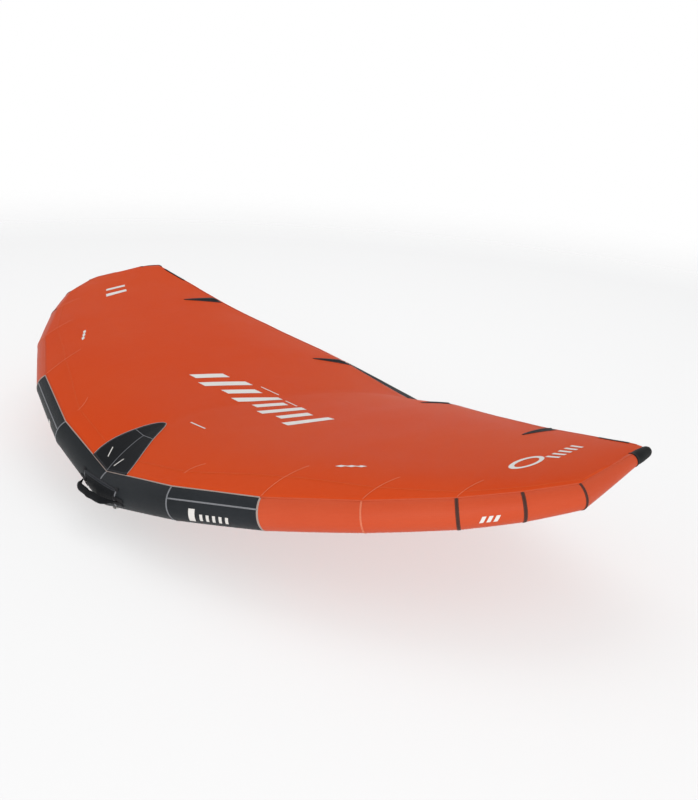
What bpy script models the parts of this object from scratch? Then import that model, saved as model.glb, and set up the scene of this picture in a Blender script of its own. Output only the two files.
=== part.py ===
"""Inflatable wing for wing foiling, about five square metres.

The leading edge is a bent tube of sewn panels around one bladder. A strut tube runs back from its
middle. A cambered canopy spans the two, with battens on its trailing edge and a fabric web down to the
strut. The rider holds a front handle on the leading edge and two handles under the strut.

Metres, +Z up. The front is -Y and the span runs along X. Points are worked out from the middle of the
leading edge tube, and an empty moves that datum so that the origin is the rider's hold under the strut.
"""

from math import cos, floor, pi, radians, sin, sqrt

import bmesh
import bpy
from mathutils import Matrix, Vector

# Driving dimensions
HALF_SPAN = 1.722
SWEEP = 1.165
RISE = 0.410
TUBE_RADIUS = 0.086
CHORD = 1.870
CAMBER = 0.190
STRUT_OVERHANG = 0.043
STRUT_LENGTH = CHORD + STRUT_OVERHANG
STRUT_RADIUS = 0.0702
TUBE_WALL = 0.0012
BLADDER_WALL = 0.0006
CANOPY_THICKNESS = 0.002
WEBBING = 0.0016
GAP = 0.0003
SIDES = 20

# Stations along the leading edge, from the middle to the tip, as shares of the dimensions above
STATION_X_SHARES = (0.0, 0.248, 0.480, 0.679, 0.829, 0.919, 0.981, 0.984)
STATION_Y_SHARES = (0.0, 0.036, 0.136, 0.290, 0.467, 0.606, 0.762, 1.034)
STATION_Z_SHARES = (0.0, 0.210, 0.407, 0.588, 0.722, 0.822, 0.893, 1.045)
STATION_RADIUS_SHARES = (1.0, 0.935, 0.876, 0.819, 0.783, 0.728, 0.634, 0.314)
TRAILING_X_SHARES = (0.0, 0.222, 0.463, 0.668, 0.805, 0.888, 0.943, 0.971)
TRAILING_Y_SHARES = (1.0, 0.891, 0.812, 0.751, 0.724, 0.708, 0.699, 0.695)
TRAILING_Z_SHARES = (-0.010, 0.361, 0.605, 0.815, 0.956, 1.041, 1.095, 1.112)
CAMBER_SHARES = (1.0, 0.647, 0.500, 0.316, 0.174, 0.105, 0.063, 0.0)
LAST = len(STATION_X_SHARES) - 1

# The canopy's front seam, as a place around the tube: 5 is its top and 10 its front
SEAM_PLACES = (6.5, 6.5, 6.5, 6.4, 6.2, 6.0, 5.7, 5.2)
SEAM_LIFT = 0.0024
CREST_SHARE = 0.33
NOSE_POWER = 3.2
TAIL_POWER = 2.6
CANOPY_ROW_SHARES = (0.0, 0.03, 0.07, 0.12, 0.20, 0.33, 0.50, 0.70, 0.85, 1.0)
CANOPY_SPLIT = 3
HEM_MIDDLE_WIDTH = 0.110
HEM_END_WIDTH = 0.010

# The tube's closed end beyond the last station
TIP_REACH = Vector((-0.009, 0.094, 0.004))
TIP_RADIUS = 0.020
BAND_HALF_WIDTH = 0.008
BAND_STATIONS = (4, 5)

# The strut: places along it from the middle of the leading edge, with its axis height and radius there
STRUT_Y_SHARES = (0.0, 0.219, 0.656, 0.867, 1.0)
STRUT_DROPS = (0.0, 0.011, 0.024, 0.050, 0.051)
STRUT_RADIUS_SHARES = (1.0, 1.0, 0.974, 0.615, 0.385)

# Handles
FRONT_HANDLE_REACH = 0.0550
FRONT_HANDLE_PIVOT = Vector((0.0, -0.0761, 0.0))
FRONT_HANDLE_HALF = 0.138
FRONT_GRIP_HALF_HEIGHT = 0.0125
FRONT_GRIP_HALF_DEPTH = 0.010
PAD_TOP = 0.052
PAD_BOTTOM = -0.040
PAD_TOP_HALF = 0.130
PAD_BOTTOM_HALF = 0.100
PAD_LIFT = 0.0022
EAR_INNER = 0.118
EAR_OUTER = 0.168
EAR_ROWS = slice(2, 5)
EAR_GAP = 0.0004
STRUT_HANDLES = {
    "front": {"attach": (0.275, 0.665), "junction": (0.364, 0.574)},
    "rear": {"attach": (0.915, 1.360), "junction": (1.020, 1.260)},
}
ANCHOR_DROP = 0.022
ANCHOR_HALF_WIDTH = 0.014
ANCHOR_THICKNESS = 0.0025
ANCHOR_LIFT = 0.0008
NECK_RADIUS = 0.003
NECK_GAP = 0.0004
STRUT_GRIP_SAG = 0.022
STRUT_GRIP_HALF_WIDTH = 0.013
STRUT_GRIP_HALF_THICKNESS = 0.009

# Valves
VALVE_FLANGE_RADIUS = 0.021
VALVE_FLANGE_THICKNESS = 0.0025
VALVE_NECK_RADIUS = 0.0135
VALVE_BORE_RADIUS = 0.0112
VALVE_DEPTH = 0.022
VALVE_CAP_RADIUS = 0.019
VALVE_CAP_THICKNESS = 0.004
VALVE_CAP_GAP = 0.0005
VALVE_FLAP_RADIUS = 0.0125
VALVE_FLAP_THICKNESS = 0.001
VALVE_SEGMENTS = 16
LEADING_EDGE_VALVE_X = -0.220
LEADING_EDGE_VALVE_PLACE = -0.5
STRUT_VALVE_Y = 0.200
STRUT_VALVE_PLACE = 10.5

# Battens and their pockets: their stations, and how far out from these they lie
POCKET_STATIONS = {"inner": 1, "outer": 3}
POCKET_SHIFTS = {"inner": 0.0, "outer": 0.040}
POCKET_LENGTH = 0.240
POCKET_BASE_HALF = 0.035
POCKET_TIP_HALF = 0.012
POCKET_EDGE_LIFT = 0.0016
POCKET_ROOM = 0.0044
POCKET_END_SHARE = 0.985
BATTEN_HALF_WIDTH = 0.004
BATTEN_LIFT = 0.0018
BATTEN_THICKNESS = 0.0018

# Patch, web, block and leash loop in the middle
PATCH_HALF_WIDTH = 0.136
PATCH_ROW_SHARES = (0.0, 0.03, 0.07, 0.12, 0.152)
PATCH_WIDTH_SHARES = (1.0, 0.95, 0.72, 0.30, 0.04)
PATCH_LIFTS = (0.0004, 0.0016, 0.0016, 0.0016, 0.0016)
WEB_FRONT = 0.100
WEB_OPENING_FRONT = CHORD - 0.450
WEB_OPENING_REAR = CHORD - 0.270
WEB_OPENING_HEIGHT = 0.050
WEB_REAR = CHORD - 0.090
WEB_CLEARANCE = 0.0006
BLOCK_FRONT = CHORD - 0.038
BLOCK_REAR = CHORD - 0.004
BLOCK_HALF_WIDTH = 0.030
BLOCK_TOP = -0.0068
LEASH_LOOP_HALF = 0.034
LEASH_LOOP_HALF_WIDTH = 0.009
LEASH_LOOP_DROP = 0.015

RIDER_HOLD = Vector((0.0, 0.794, -0.0860))

ORANGE = (0.56, 0.080, 0.024)
TUBE_ORANGE = (0.64, 0.105, 0.042)
BLACK = (0.018, 0.021, 0.028)
PATCH_BLACK = (0.008, 0.010, 0.015)
BLADDER_CLEAR = (0.62, 0.64, 0.62)
WEBBING_BLACK = (0.012, 0.012, 0.014)
WEBBING_LIGHT = (0.55, 0.56, 0.55)
VALVE_GREY = (0.10, 0.10, 0.11)
BATTEN_WHITE = (0.60, 0.60, 0.56)

for old in list(bpy.data.objects):
    bpy.data.objects.remove(old)
datum = bpy.data.objects.new("wing_datum", None)
bpy.context.scene.collection.objects.link(datum)
datum.location = -RIDER_HOLD


def material(name, colour, roughness):
    """A Principled material, made once for each name."""
    if name in bpy.data.materials:
        return bpy.data.materials[name]
    made = bpy.data.materials.new(name)
    made.use_nodes = True
    shader = made.node_tree.nodes["Principled BSDF"]
    shader.inputs["Base Color"].default_value = (*colour, 1.0)
    shader.inputs["Roughness"].default_value = roughness
    shader.inputs["Metallic"].default_value = 0.0
    return made


FABRIC = {
    "canopy": ("canopy_fabric", ORANGE, 0.55),
    "tube": ("tube_fabric", TUBE_ORANGE, 0.50),
    "black": ("black_fabric", BLACK, 0.55),
    "patch": ("patch_fabric", PATCH_BLACK, 0.60),
    "bladder": ("bladder_film", BLADDER_CLEAR, 0.30),
    "webbing": ("black_webbing", WEBBING_BLACK, 0.75),
    "light": ("light_webbing", WEBBING_LIGHT, 0.75),
    "valve": ("valve_plastic", VALVE_GREY, 0.45),
    "batten": ("batten_plastic", BATTEN_WHITE, 0.40),
}


def finish(name, bm, look, frame=None, smooth=True):
    """Makes a named object from a mesh, in its own frame, parented to the datum."""
    bmesh.ops.recalc_face_normals(bm, faces=bm.faces)
    if bm.calc_volume(signed=True) < 0:
        bmesh.ops.reverse_faces(bm, faces=bm.faces)
    mesh = bpy.data.meshes.new(name)
    bm.to_mesh(mesh)
    bm.free()
    made = bpy.data.objects.new(name, mesh)
    bpy.context.scene.collection.objects.link(made)
    made.parent = datum
    if frame is not None:
        made.matrix_local = frame
    mesh.materials.append(material(*FABRIC[look]))
    if smooth:
        mesh.shade_smooth()
        mesh.set_sharp_from_angle(angle=radians(30))
    return made


def loft(name, rings, look, loop=False, frame=None, smooth=True, split=False):
    """A body through rings of equally many points, closed by end faces or back to its first ring.

    With split, each side face is two triangles, so two lofts a film's thickness apart stay apart.
    """
    bm = bmesh.new()
    count = len(rings[0])
    made = [[bm.verts.new(point) for point in ring] for ring in rings]
    pairs = list(zip(made, made[1:]))
    if loop:
        pairs.append((made[-1], made[0]))
    for first, second in pairs:
        for i in range(count):
            j = (i + 1) % count
            if split:
                bm.faces.new((first[i], first[j], second[j]))
                bm.faces.new((first[i], second[j], second[i]))
            else:
                bm.faces.new((first[i], first[j], second[j], second[i]))
    if not loop:
        bm.faces.new(made[0])
        bm.faces.new(made[-1])
    return finish(name, bm, look, frame, smooth)


def slab(name, top, bottom, look):
    """A thin body between two grids of points of the same size."""
    bm = bmesh.new()
    rows = len(top)
    columns = len(top[0])
    upper = [[bm.verts.new(point) for point in row] for row in top]
    lower = [[bm.verts.new(point) for point in row] for row in bottom]
    for i in range(rows - 1):
        for j in range(columns - 1):
            bm.faces.new((upper[i][j], upper[i][j + 1], upper[i + 1][j + 1], upper[i + 1][j]))
            bm.faces.new((lower[i][j], lower[i + 1][j], lower[i + 1][j + 1], lower[i][j + 1]))
    for i in range(rows - 1):
        for j in (0, columns - 1):
            bm.faces.new((upper[i][j], upper[i + 1][j], lower[i + 1][j], lower[i][j]))
    for j in range(columns - 1):
        for i in (0, rows - 1):
            bm.faces.new((upper[i][j], upper[i][j + 1], lower[i][j + 1], lower[i][j]))
    return finish(name, bm, look, smooth=False)


def cut(body, cutter):
    """Takes the cutter's volume out of the body and hides the cutter."""
    cutter.hide_render = True
    cutter.display_type = "WIRE"
    boolean = body.modifiers.new(cutter.name, "BOOLEAN")
    boolean.operation = "DIFFERENCE"
    boolean.solver = "EXACT"
    boolean.object = cutter


def between(values, place):
    """The value at a fractional place in a list."""
    low = min(floor(place), len(values) - 2)
    share = place - low
    return values[low] * (1 - share) + values[low + 1] * share


def mirrored(point):
    return Vector((-point.x, point.y, point.z))


# Leading edge tube

def station(index):
    return Vector((
        STATION_X_SHARES[index] * HALF_SPAN,
        STATION_Y_SHARES[index] * SWEEP,
        STATION_Z_SHARES[index] * RISE,
    ))


def station_frame(index):
    """The tube's cross-section at a station: along, side, up, and the mitre's stretch."""
    here = station(index)
    ahead = station(index + 1) - here if index < LAST else here - station(index - 1)
    behind = here - station(index - 1) if index else mirrored(-station(1))
    if index == LAST:
        behind = ahead
    ahead = ahead.normalized()
    behind = behind.normalized()
    along = (ahead + behind).normalized()
    side = Vector((0, 0, 1)).cross(along).normalized()
    bend = ahead - behind
    stretch = 1 / max(along.dot(ahead), 0.5)
    return along, side, along.cross(side), bend.normalized(), stretch


STATION_FRAMES = [station_frame(i) for i in range(LAST + 1)]


def ring_vertex(index, place, lift):
    """A corner of the tube's many-sided section, in the mitre plane of its station."""
    along, side, up, bend, stretch = STATION_FRAMES[index]
    angle = 2 * pi * place / SIDES
    spoke = side * cos(angle) + up * sin(angle)
    spoke += bend * spoke.dot(bend) * (stretch - 1)
    return station(index) + spoke * (STATION_RADIUS_SHARES[index] * TUBE_RADIUS + lift)


def tube_point(along, place, lift=0.0):
    """A point of the tube's surface: a fractional station, negative on the left, and a place around."""
    distance = abs(along)
    low = min(floor(distance), LAST - 1)
    share = distance - low
    corner = floor(place)
    turn = place - corner
    total = Vector()
    for index, weight in ((low, 1 - share), (low + 1, share)):
        total += ring_vertex(index, corner, lift) * weight * (1 - turn)
        total += ring_vertex(index, corner + 1, lift) * weight * turn
    return mirrored(total) if along < 0 else total


def middle_tube(x):
    """The middle panels' axis point and radius at a distance from the middle."""
    out = abs(x) / station(1).x
    return station(1) * out, TUBE_RADIUS * (1 - out + out * STATION_RADIUS_SHARES[1])


def middle_tube_y(x, z, lift, side):
    """Where the round middle panels' wall is at a height: side is -1 at the front and 1 at the back."""
    middle, radius = middle_tube(x)
    along = station(1).normalized()
    height = z - middle.z
    square = 1 - along.y ** 2
    half_linear = -along.y * along.z * height
    constant = (1 - along.z ** 2) * height ** 2 - (radius + lift) ** 2
    return middle.y + (side * sqrt(half_linear ** 2 - square * constant) - half_linear) / square


def tube_ring(along, lift, step=1):
    return [tube_point(along, place, lift) for place in range(0, SIDES, step)]


def sleeve(name, places, lift, wall, look):
    """A hollow length of tube through the given stations, open at both ends."""
    outer = [tube_ring(place, lift) for place in places]
    inner = [tube_ring(place, lift - wall) for place in reversed(places)]
    return loft(name, outer + inner, look, loop=True)


def leading_edge_panels():
    parts = ("center", "inner", "middle", "outer", "bend", "sweep", "tip")
    trim = GAP / 2
    for side, sign in (("left", -1), ("right", 1)):
        for index, part in enumerate(parts):
            length = (station(index + 1) - station(index)).length
            first = sign * (index + trim / length)
            second = sign * (index + 1 - trim / length)
            look = "black" if index < 2 else "tube"
            sleeve(f"leading_edge_{part}_{side}", (first, second), 0.0, TUBE_WALL, look)


def seam_bands():
    for side, sign in (("left", -1), ("right", 1)):
        for index in BAND_STATIONS:
            before = BAND_HALF_WIDTH / (station(index) - station(index - 1)).length
            after = BAND_HALF_WIDTH / (station(index + 1) - station(index)).length
            places = (sign * (index - before), sign * index, sign * (index + after))
            sleeve(f"seam_band_{index}_{side}", places, GAP + WEBBING / 2, WEBBING / 2, "black")


def tip_ring(share, radius):
    """A ring across the tube's end, from the last station to the middle of the end's dome."""
    along = STATION_FRAMES[LAST][0]
    turned = (along * (1 - share) + TIP_REACH.normalized() * share).normalized()
    across = Vector((0, 0, 1)).cross(turned).normalized()
    rise = turned.cross(across)
    middle = station(LAST) + TIP_REACH * share
    ring = []
    for place in range(SIDES):
        angle = 2 * pi * place / SIDES
        ring.append(middle + (across * cos(angle) + rise * sin(angle)) * radius)
    return ring


def tip_caps():
    """Moulded caps that close the tube's ends."""
    start = STATION_RADIUS_SHARES[LAST] * TUBE_RADIUS
    domes = (0.0, 0.45, 0.80)
    surfaces = []
    for wall in (0.0, 2 * TUBE_WALL):
        rings = [tip_ring(GAP / TIP_REACH.length, start - wall)]
        rings.append(tip_ring(0.5, (start + TIP_RADIUS) / 2 - wall))
        for dome in domes:
            reach = 1 + dome * (TIP_RADIUS - wall) / TIP_REACH.length
            rings.append(tip_ring(reach, (TIP_RADIUS - wall) * sqrt(1 - dome * dome)))
        surfaces.append(rings)
    ordered = list(reversed(surfaces[0])) + surfaces[1]
    for side, sign in (("left", -1), ("right", 1)):
        rings = [[mirrored(p) if sign < 0 else p for p in ring] for ring in ordered]
        loft(f"tip_cap_{side}", rings, "patch")


# Strut tube

def strut_section(y):
    """The strut's axis height and radius at a distance behind the leading edge's middle."""
    places = [share * STRUT_LENGTH for share in STRUT_Y_SHARES]
    low = max(i for i in range(len(places) - 1) if places[i] <= y or i == 0)
    share = (y - places[low]) / (places[low + 1] - places[low])
    drop = STRUT_DROPS[low] * (1 - share) + STRUT_DROPS[low + 1] * share
    radius_share = STRUT_RADIUS_SHARES[low] * (1 - share) + STRUT_RADIUS_SHARES[low + 1] * share
    return -drop, radius_share * STRUT_RADIUS


def strut_point(y, place, lift=0.0):
    height, radius = strut_section(y)
    angle = 2 * pi * place / SIDES
    spoke = radius + lift
    if place != floor(place):
        spoke *= cos(pi / SIDES)
    return Vector((cos(angle) * spoke, y, height + sin(angle) * spoke))


def strut_ring(y, lift, step=1):
    return [strut_point(y, place, lift) for place in range(0, SIDES, step)]


def mouth_ring(lift):
    """The strut's front edge, shaped to lie against the back of the leading edge tube."""
    clearance = 6 * GAP
    ring = []
    for place in range(SIDES):
        first = strut_point(TUBE_RADIUS, place, lift)
        reach = middle_tube_y(first.x, first.z, clearance, 1)
        ring.append(strut_point(reach, place, lift))
    return ring


def strut_panels():
    ys = [share * STRUT_LENGTH for share in STRUT_Y_SHARES]
    trim = GAP / 2
    rings = [mouth_ring(0.0), strut_ring(ys[1] - trim, 0.0)]
    rings += [strut_ring(ys[1] - trim, -TUBE_WALL), mouth_ring(-TUBE_WALL)]
    loft("strut_front", rings, "black", loop=True)
    for name, start, end in (("strut_middle", ys[1], ys[2]), ("strut_rear", ys[2], ys[3])):
        rings = [strut_ring(start + trim, 0.0), strut_ring(end - trim, 0.0)]
        rings += [strut_ring(end - trim, -TUBE_WALL), strut_ring(start + trim, -TUBE_WALL)]
        loft(name, rings, "black", loop=True)
    height, radius = strut_section(ys[4])
    dome_start = ys[4] - radius
    domes = (0.4, 0.75, 0.93)
    outer = [strut_ring(ys[3] + trim, 0.0), strut_ring(dome_start, 0.0)]
    inner = [strut_ring(ys[3] + trim, -TUBE_WALL), strut_ring(dome_start, -TUBE_WALL)]
    for dome in domes:
        outer.append(dome_ring(dome_start, height, radius, dome))
        inner.append(dome_ring(dome_start, height, radius - TUBE_WALL, dome))
    loft("strut_tail", list(reversed(outer)) + inner, "black")


def dome_ring(start, height, radius, dome):
    """A ring of a round end: dome is its distance out as a share of the radius."""
    width = radius * sqrt(1 - dome * dome)
    angles = [2 * pi * place / SIDES for place in range(SIDES)]
    return [Vector((cos(a) * width, start + radius * dome, height + sin(a) * width)) for a in angles]


# Canopy

def seam_point(along):
    distance = min(abs(along), LAST)
    return tube_point(along, between(SEAM_PLACES, distance), SEAM_LIFT + CANOPY_THICKNESS / 2)


def trailing_point(along):
    distance = min(abs(along), LAST)
    point = Vector((
        between(TRAILING_X_SHARES, distance) * HALF_SPAN,
        between(TRAILING_Y_SHARES, distance) * CHORD,
        between(TRAILING_Z_SHARES, distance) * RISE,
    ))
    return mirrored(point) if along < 0 else point


def camber_share(chord_share):
    """Height above the chord line, 1 at the crest."""
    if chord_share < CREST_SHARE:
        return 1 - (1 - chord_share / CREST_SHARE) ** NOSE_POWER
    return 1 - ((chord_share - CREST_SHARE) / (1 - CREST_SHARE)) ** TAIL_POWER


def canopy_middle(along, chord_share):
    point = seam_point(along).lerp(trailing_point(along), chord_share)
    point.z += between(CAMBER_SHARES, min(abs(along), LAST)) * CAMBER * camber_share(chord_share)
    return point


def canopy_point(along, chord_share, lift):
    """A point above the canopy's middle surface by the lift, square to the surface."""
    step = 0.01
    if abs(along) < step:
        spanwise = Vector((1, 0, 0))
    else:
        low = max(abs(along) - step, 0.0)
        high = min(abs(along) + step, float(LAST))
        sign = -1 if along < 0 else 1
        spanwise = (canopy_middle(sign * high, chord_share) - canopy_middle(sign * low, chord_share)) * sign
    near = max(chord_share - step, 0.0)
    far = min(chord_share + step, 1.0)
    chordwise = canopy_middle(along, far) - canopy_middle(along, near)
    normal = spanwise.cross(chordwise).normalized()
    return canopy_middle(along, chord_share) + normal * lift


def chord_length(along):
    return (trailing_point(along) - seam_point(along)).length


def canopy_end_share(along):
    """Where the canopy stops for the hem, which is widest in the middle."""
    distance = abs(along)
    if distance > 1:
        end_width = HEM_END_WIDTH * max(2 - distance, 0.0)
    else:
        end_width = HEM_MIDDLE_WIDTH * (1 - distance) + HEM_END_WIDTH * distance
    return 1 - end_width / chord_length(along)


def canopy_slab(name, alongs, row_shares, look, start_lift=-CANOPY_THICKNESS / 2, thickness=CANOPY_THICKNESS):
    """A slab on the canopy's surface: start_lift is its underside above the canopy's middle."""
    top = []
    bottom = []
    for shares in row_shares:
        top.append([canopy_point(a, s, start_lift + thickness) for a, s in zip(alongs, shares)])
        bottom.append([canopy_point(a, s, start_lift) for a, s in zip(alongs, shares)])
    return slab(name, top, bottom, look)


def canopy_panels():
    trim = GAP / 2 / station(1).x
    inner = (trim, 0.5, 1, 2, CANOPY_SPLIT - 2 * trim)
    outer = (CANOPY_SPLIT + 2 * trim, 4, 5, 6, LAST)
    for side, sign in (("left", -1), ("right", 1)):
        for part, places in (("inner", inner), ("outer", outer)):
            alongs = [sign * place for place in places]
            rows = [[share * canopy_end_share(a) for a in alongs] for share in CANOPY_ROW_SHARES]
            canopy_slab(f"canopy_{part}_{side}", alongs, rows, "canopy")


def hems():
    trim = GAP / 2 / station(1).x
    for side, sign in (("left", -1), ("right", 1)):
        alongs = [sign * place for place in (trim, 0.5, 1 - trim)]
        rows = []
        for step in (0.0, 0.5, 1.0):
            row = []
            for along in alongs:
                start = canopy_end_share(along) + GAP / chord_length(along)
                row.append(start * (1 - step) + step)
            rows.append(row)
        canopy_slab(f"trailing_edge_hem_{side}", alongs, rows, "black")


def place_beside(index, offset, sign):
    """A place along the span, a distance in metres out (+) or in (-) from a station."""
    neighbour = index + 1 if offset > 0 else index - 1
    spacing = abs(TRAILING_X_SHARES[neighbour] - TRAILING_X_SHARES[index]) * HALF_SPAN
    return sign * (index + offset / spacing)


def battens():
    """Short stiff battens on the trailing edge, each under a tapered pocket."""
    top_of_canopy = CANOPY_THICKNESS / 2
    for side, sign in (("left", -1), ("right", 1)):
        for part, index in POCKET_STATIONS.items():
            start = 1 - POCKET_LENGTH / chord_length(index)
            shares = (start, 0.5 * (start + 0.85) if start < 0.84 else 0.9, 0.93, POCKET_END_SHARE)
            top = []
            bottom = []
            for share in shares:
                grown = (share - start) / (1 - start)
                half = POCKET_TIP_HALF + (POCKET_BASE_HALF - POCKET_TIP_HALF) * grown
                row_top = []
                row_bottom = []
                for spread in (-1.0, -0.55, 0.0, 0.55, 1.0):
                    along = place_beside(index, POCKET_SHIFTS[part] + spread * half, sign)
                    lift = top_of_canopy + (POCKET_EDGE_LIFT if abs(spread) == 1.0 else POCKET_ROOM)
                    row_bottom.append(canopy_point(along, share, lift))
                    row_top.append(canopy_point(along, share, lift + WEBBING / 2))
                top.append(row_top)
                bottom.append(row_bottom)
            slab(f"batten_pocket_{part}_{side}", top, bottom, "patch")
            offsets = [POCKET_SHIFTS[part] + side_step * BATTEN_HALF_WIDTH for side_step in (-1, 0, 1)]
            alongs = [place_beside(index, offset, sign) for offset in offsets]
            rows = [[share] * len(alongs) for share in shares]
            lift = top_of_canopy + BATTEN_LIFT
            canopy_slab(f"batten_{part}_{side}", alongs, rows, "batten", lift, BATTEN_THICKNESS)


def centre_patch():
    rows = []
    top = []
    bottom = []
    reach = PATCH_HALF_WIDTH / station(1).x
    for share, width, gap in zip(PATCH_ROW_SHARES, PATCH_WIDTH_SHARES, PATCH_LIFTS):
        alongs = [spread * width * reach for spread in (-1.0, -0.5, 0.0, 0.5, 1.0)]
        lift = CANOPY_THICKNESS / 2 + gap
        shares = [share * canopy_end_share(a) for a in alongs]
        bottom.append([canopy_point(a, s, lift) for a, s in zip(alongs, shares)])
        top.append([canopy_point(a, s, lift + WEBBING / 2) for a, s in zip(alongs, shares)])
    slab("canopy_centre_patch", top, bottom, "patch")


def centre_height(y):
    """The canopy's middle surface above the strut, following its straight runs between rows."""
    front = seam_point(0).y
    share = (y - front) / (trailing_point(0).y - front)
    end = canopy_end_share(0)
    rows = [row * end for row in CANOPY_ROW_SHARES] + [1.0]
    low = max(i for i in range(len(rows) - 1) if rows[i] <= share)
    before = canopy_middle(0, rows[low])
    after = canopy_middle(0, rows[low + 1])
    return before.z + (after.z - before.z) * (share - rows[low]) / (rows[low + 1] - rows[low])


def web():
    """Fabric between the canopy's middle and the strut, with a gap to see through near the back."""
    front = seam_point(0).y
    length = (CHORD - front) * canopy_end_share(0)
    step = 0.002
    ys = [front + row * length for row in CANOPY_ROW_SHARES if WEB_FRONT < front + row * length < WEB_REAR]
    ys += [share * STRUT_LENGTH for share in STRUT_Y_SHARES[1:4]]
    ys += [WEB_FRONT, WEB_REAR, WEB_OPENING_FRONT, WEB_OPENING_FRONT + step]
    ys += [WEB_OPENING_REAR - step, WEB_OPENING_REAR]
    ys.sort()
    half = CANOPY_THICKNESS / 2
    left = []
    right = []
    for y in ys:
        height, radius = strut_section(y)
        low = height + radius + WEB_CLEARANCE
        if WEB_OPENING_FRONT + step <= y <= WEB_OPENING_REAR - step:
            low += WEB_OPENING_HEIGHT
        high = centre_height(y) - CANOPY_THICKNESS / 2 - WEB_CLEARANCE
        left.append([Vector((-half, y, low)), Vector((-half, y, high))])
        right.append([Vector((half, y, low)), Vector((half, y, high))])
    slab("strut_web", left, right, "canopy")


def box(name, low, high, look):
    bm = bmesh.new()
    size = high - low
    matrix = Matrix.Translation((low + high) / 2) @ Matrix.Diagonal((*size, 1.0))
    bmesh.ops.create_cube(bm, size=1.0, matrix=matrix)
    return finish(name, bm, look, smooth=False)


def trailing_edge_block():
    """A stiff block that ties the canopy's rear end to the strut."""
    height, radius = strut_section(BLOCK_FRONT)
    low = Vector((-BLOCK_HALF_WIDTH, BLOCK_FRONT, height + radius + GAP))
    box("trailing_edge_block", low, Vector((BLOCK_HALF_WIDTH, BLOCK_REAR, BLOCK_TOP)), "black")


# Handles

def tube_front(x, z, lift):
    """A point on the round front of the middle panels at a height."""
    return Vector((x, middle_tube_y(x, z, lift, -1), z))


def pad_heights():
    steps = 6
    return [PAD_TOP + (PAD_BOTTOM - PAD_TOP) * step / (steps - 1) for step in range(steps)]


def front_pad():
    inner = []
    outer = []
    for z in pad_heights():
        share = (PAD_TOP - z) / (PAD_TOP - PAD_BOTTOM)
        half = PAD_TOP_HALF * (1 - share) + PAD_BOTTOM_HALF * share
        xs = [half * spread for spread in (-1.0, -0.5, 0.0, 0.5, 1.0)]
        inner.append([tube_front(x, z, PAD_LIFT) for x in xs])
        outer.append([tube_front(x, z, PAD_LIFT + WEBBING) for x in xs])
    slab("front_handle_pad", outer, inner, "patch")


def front_ears():
    """Webbing ends of the front handle, sewn over the ends of its pad."""
    lift = PAD_LIFT + WEBBING + EAR_GAP
    for side, sign in (("left", -1), ("right", 1)):
        inner = []
        outer = []
        for z in pad_heights()[EAR_ROWS]:
            xs = [sign * EAR_INNER, sign * EAR_OUTER]
            inner.append([tube_front(x, z, lift) for x in xs])
            outer.append([tube_front(x, z, lift + WEBBING) for x in xs])
        slab(f"front_handle_ear_{side}", outer, inner, "webbing")


def sweep(name, path, across, widths, thicknesses, look, frame):
    """An oval bar along a path, given half its width and half its thickness at each point."""
    rings = []
    sides = 10
    for i, point in enumerate(path):
        before = path[max(i - 1, 0)]
        after = path[min(i + 1, len(path) - 1)]
        along = (after - before).normalized()
        rise = across.cross(along)
        ring = []
        for side in range(sides):
            angle = 2 * pi * side / sides
            ring.append(point + across * cos(angle) * widths[i] + rise * sin(angle) * thicknesses[i])
        rings.append(ring)
    return loft(name, rings, look, frame=frame)


def front_grip():
    """The front handle's padded strap, on the line through its two sewn ends."""
    out_shares = (1.0, 0.94, 0.87, 0.76, 0.58, 0.30)
    reach_shares = (0.0, 0.08, 0.43, 0.80, 0.97, 1.0)
    size_shares = (0.0, 0.05, 0.42, 0.90, 1.0, 1.0)
    spots = list(zip(out_shares, reach_shares, size_shares))
    spots = [(-out, reach, size) for out, reach, size in spots] + list(reversed(spots))
    path = [Vector((out * FRONT_HANDLE_HALF, -reach * FRONT_HANDLE_REACH, 0.0)) for out, reach, size in spots]
    widths = [NECK_RADIUS + size * (FRONT_GRIP_HALF_HEIGHT - NECK_RADIUS) for out, reach, size in spots]
    depths = [NECK_RADIUS + size * (FRONT_GRIP_HALF_DEPTH - NECK_RADIUS) for out, reach, size in spots]
    frame = Matrix.Translation(FRONT_HANDLE_PIVOT)
    sweep("front_handle_grip", path, Vector((0, 0, 1)), widths, depths, "webbing", frame)


def strut_anchor(name, attach, junction, floor_height):
    """A webbing vee, sewn to both sides of the strut, whose legs meet below it."""
    places = (-1, -2, -3)
    travel = (0.0, 0.20, 0.45)
    waist = 0.006
    inner = []
    outer = []
    for place, share in zip(places, travel):
        y = attach * (1 - share) + junction * share
        for lift, rows in ((ANCHOR_LIFT, inner), (ANCHOR_LIFT + ANCHOR_THICKNESS, outer)):
            rows.append(strut_point(y, place, lift))
    inner.append(Vector((waist, junction, floor_height)))
    outer.append(Vector((waist, junction, floor_height - ANCHOR_THICKNESS)))
    inner += [mirrored(point) for point in reversed(inner)]
    outer += [mirrored(point) for point in reversed(outer)]
    wide = Vector((0, ANCHOR_HALF_WIDTH, 0))
    slab(name, [[p - wide, p + wide] for p in outer], [[p - wide, p + wide] for p in inner], "webbing")


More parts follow.
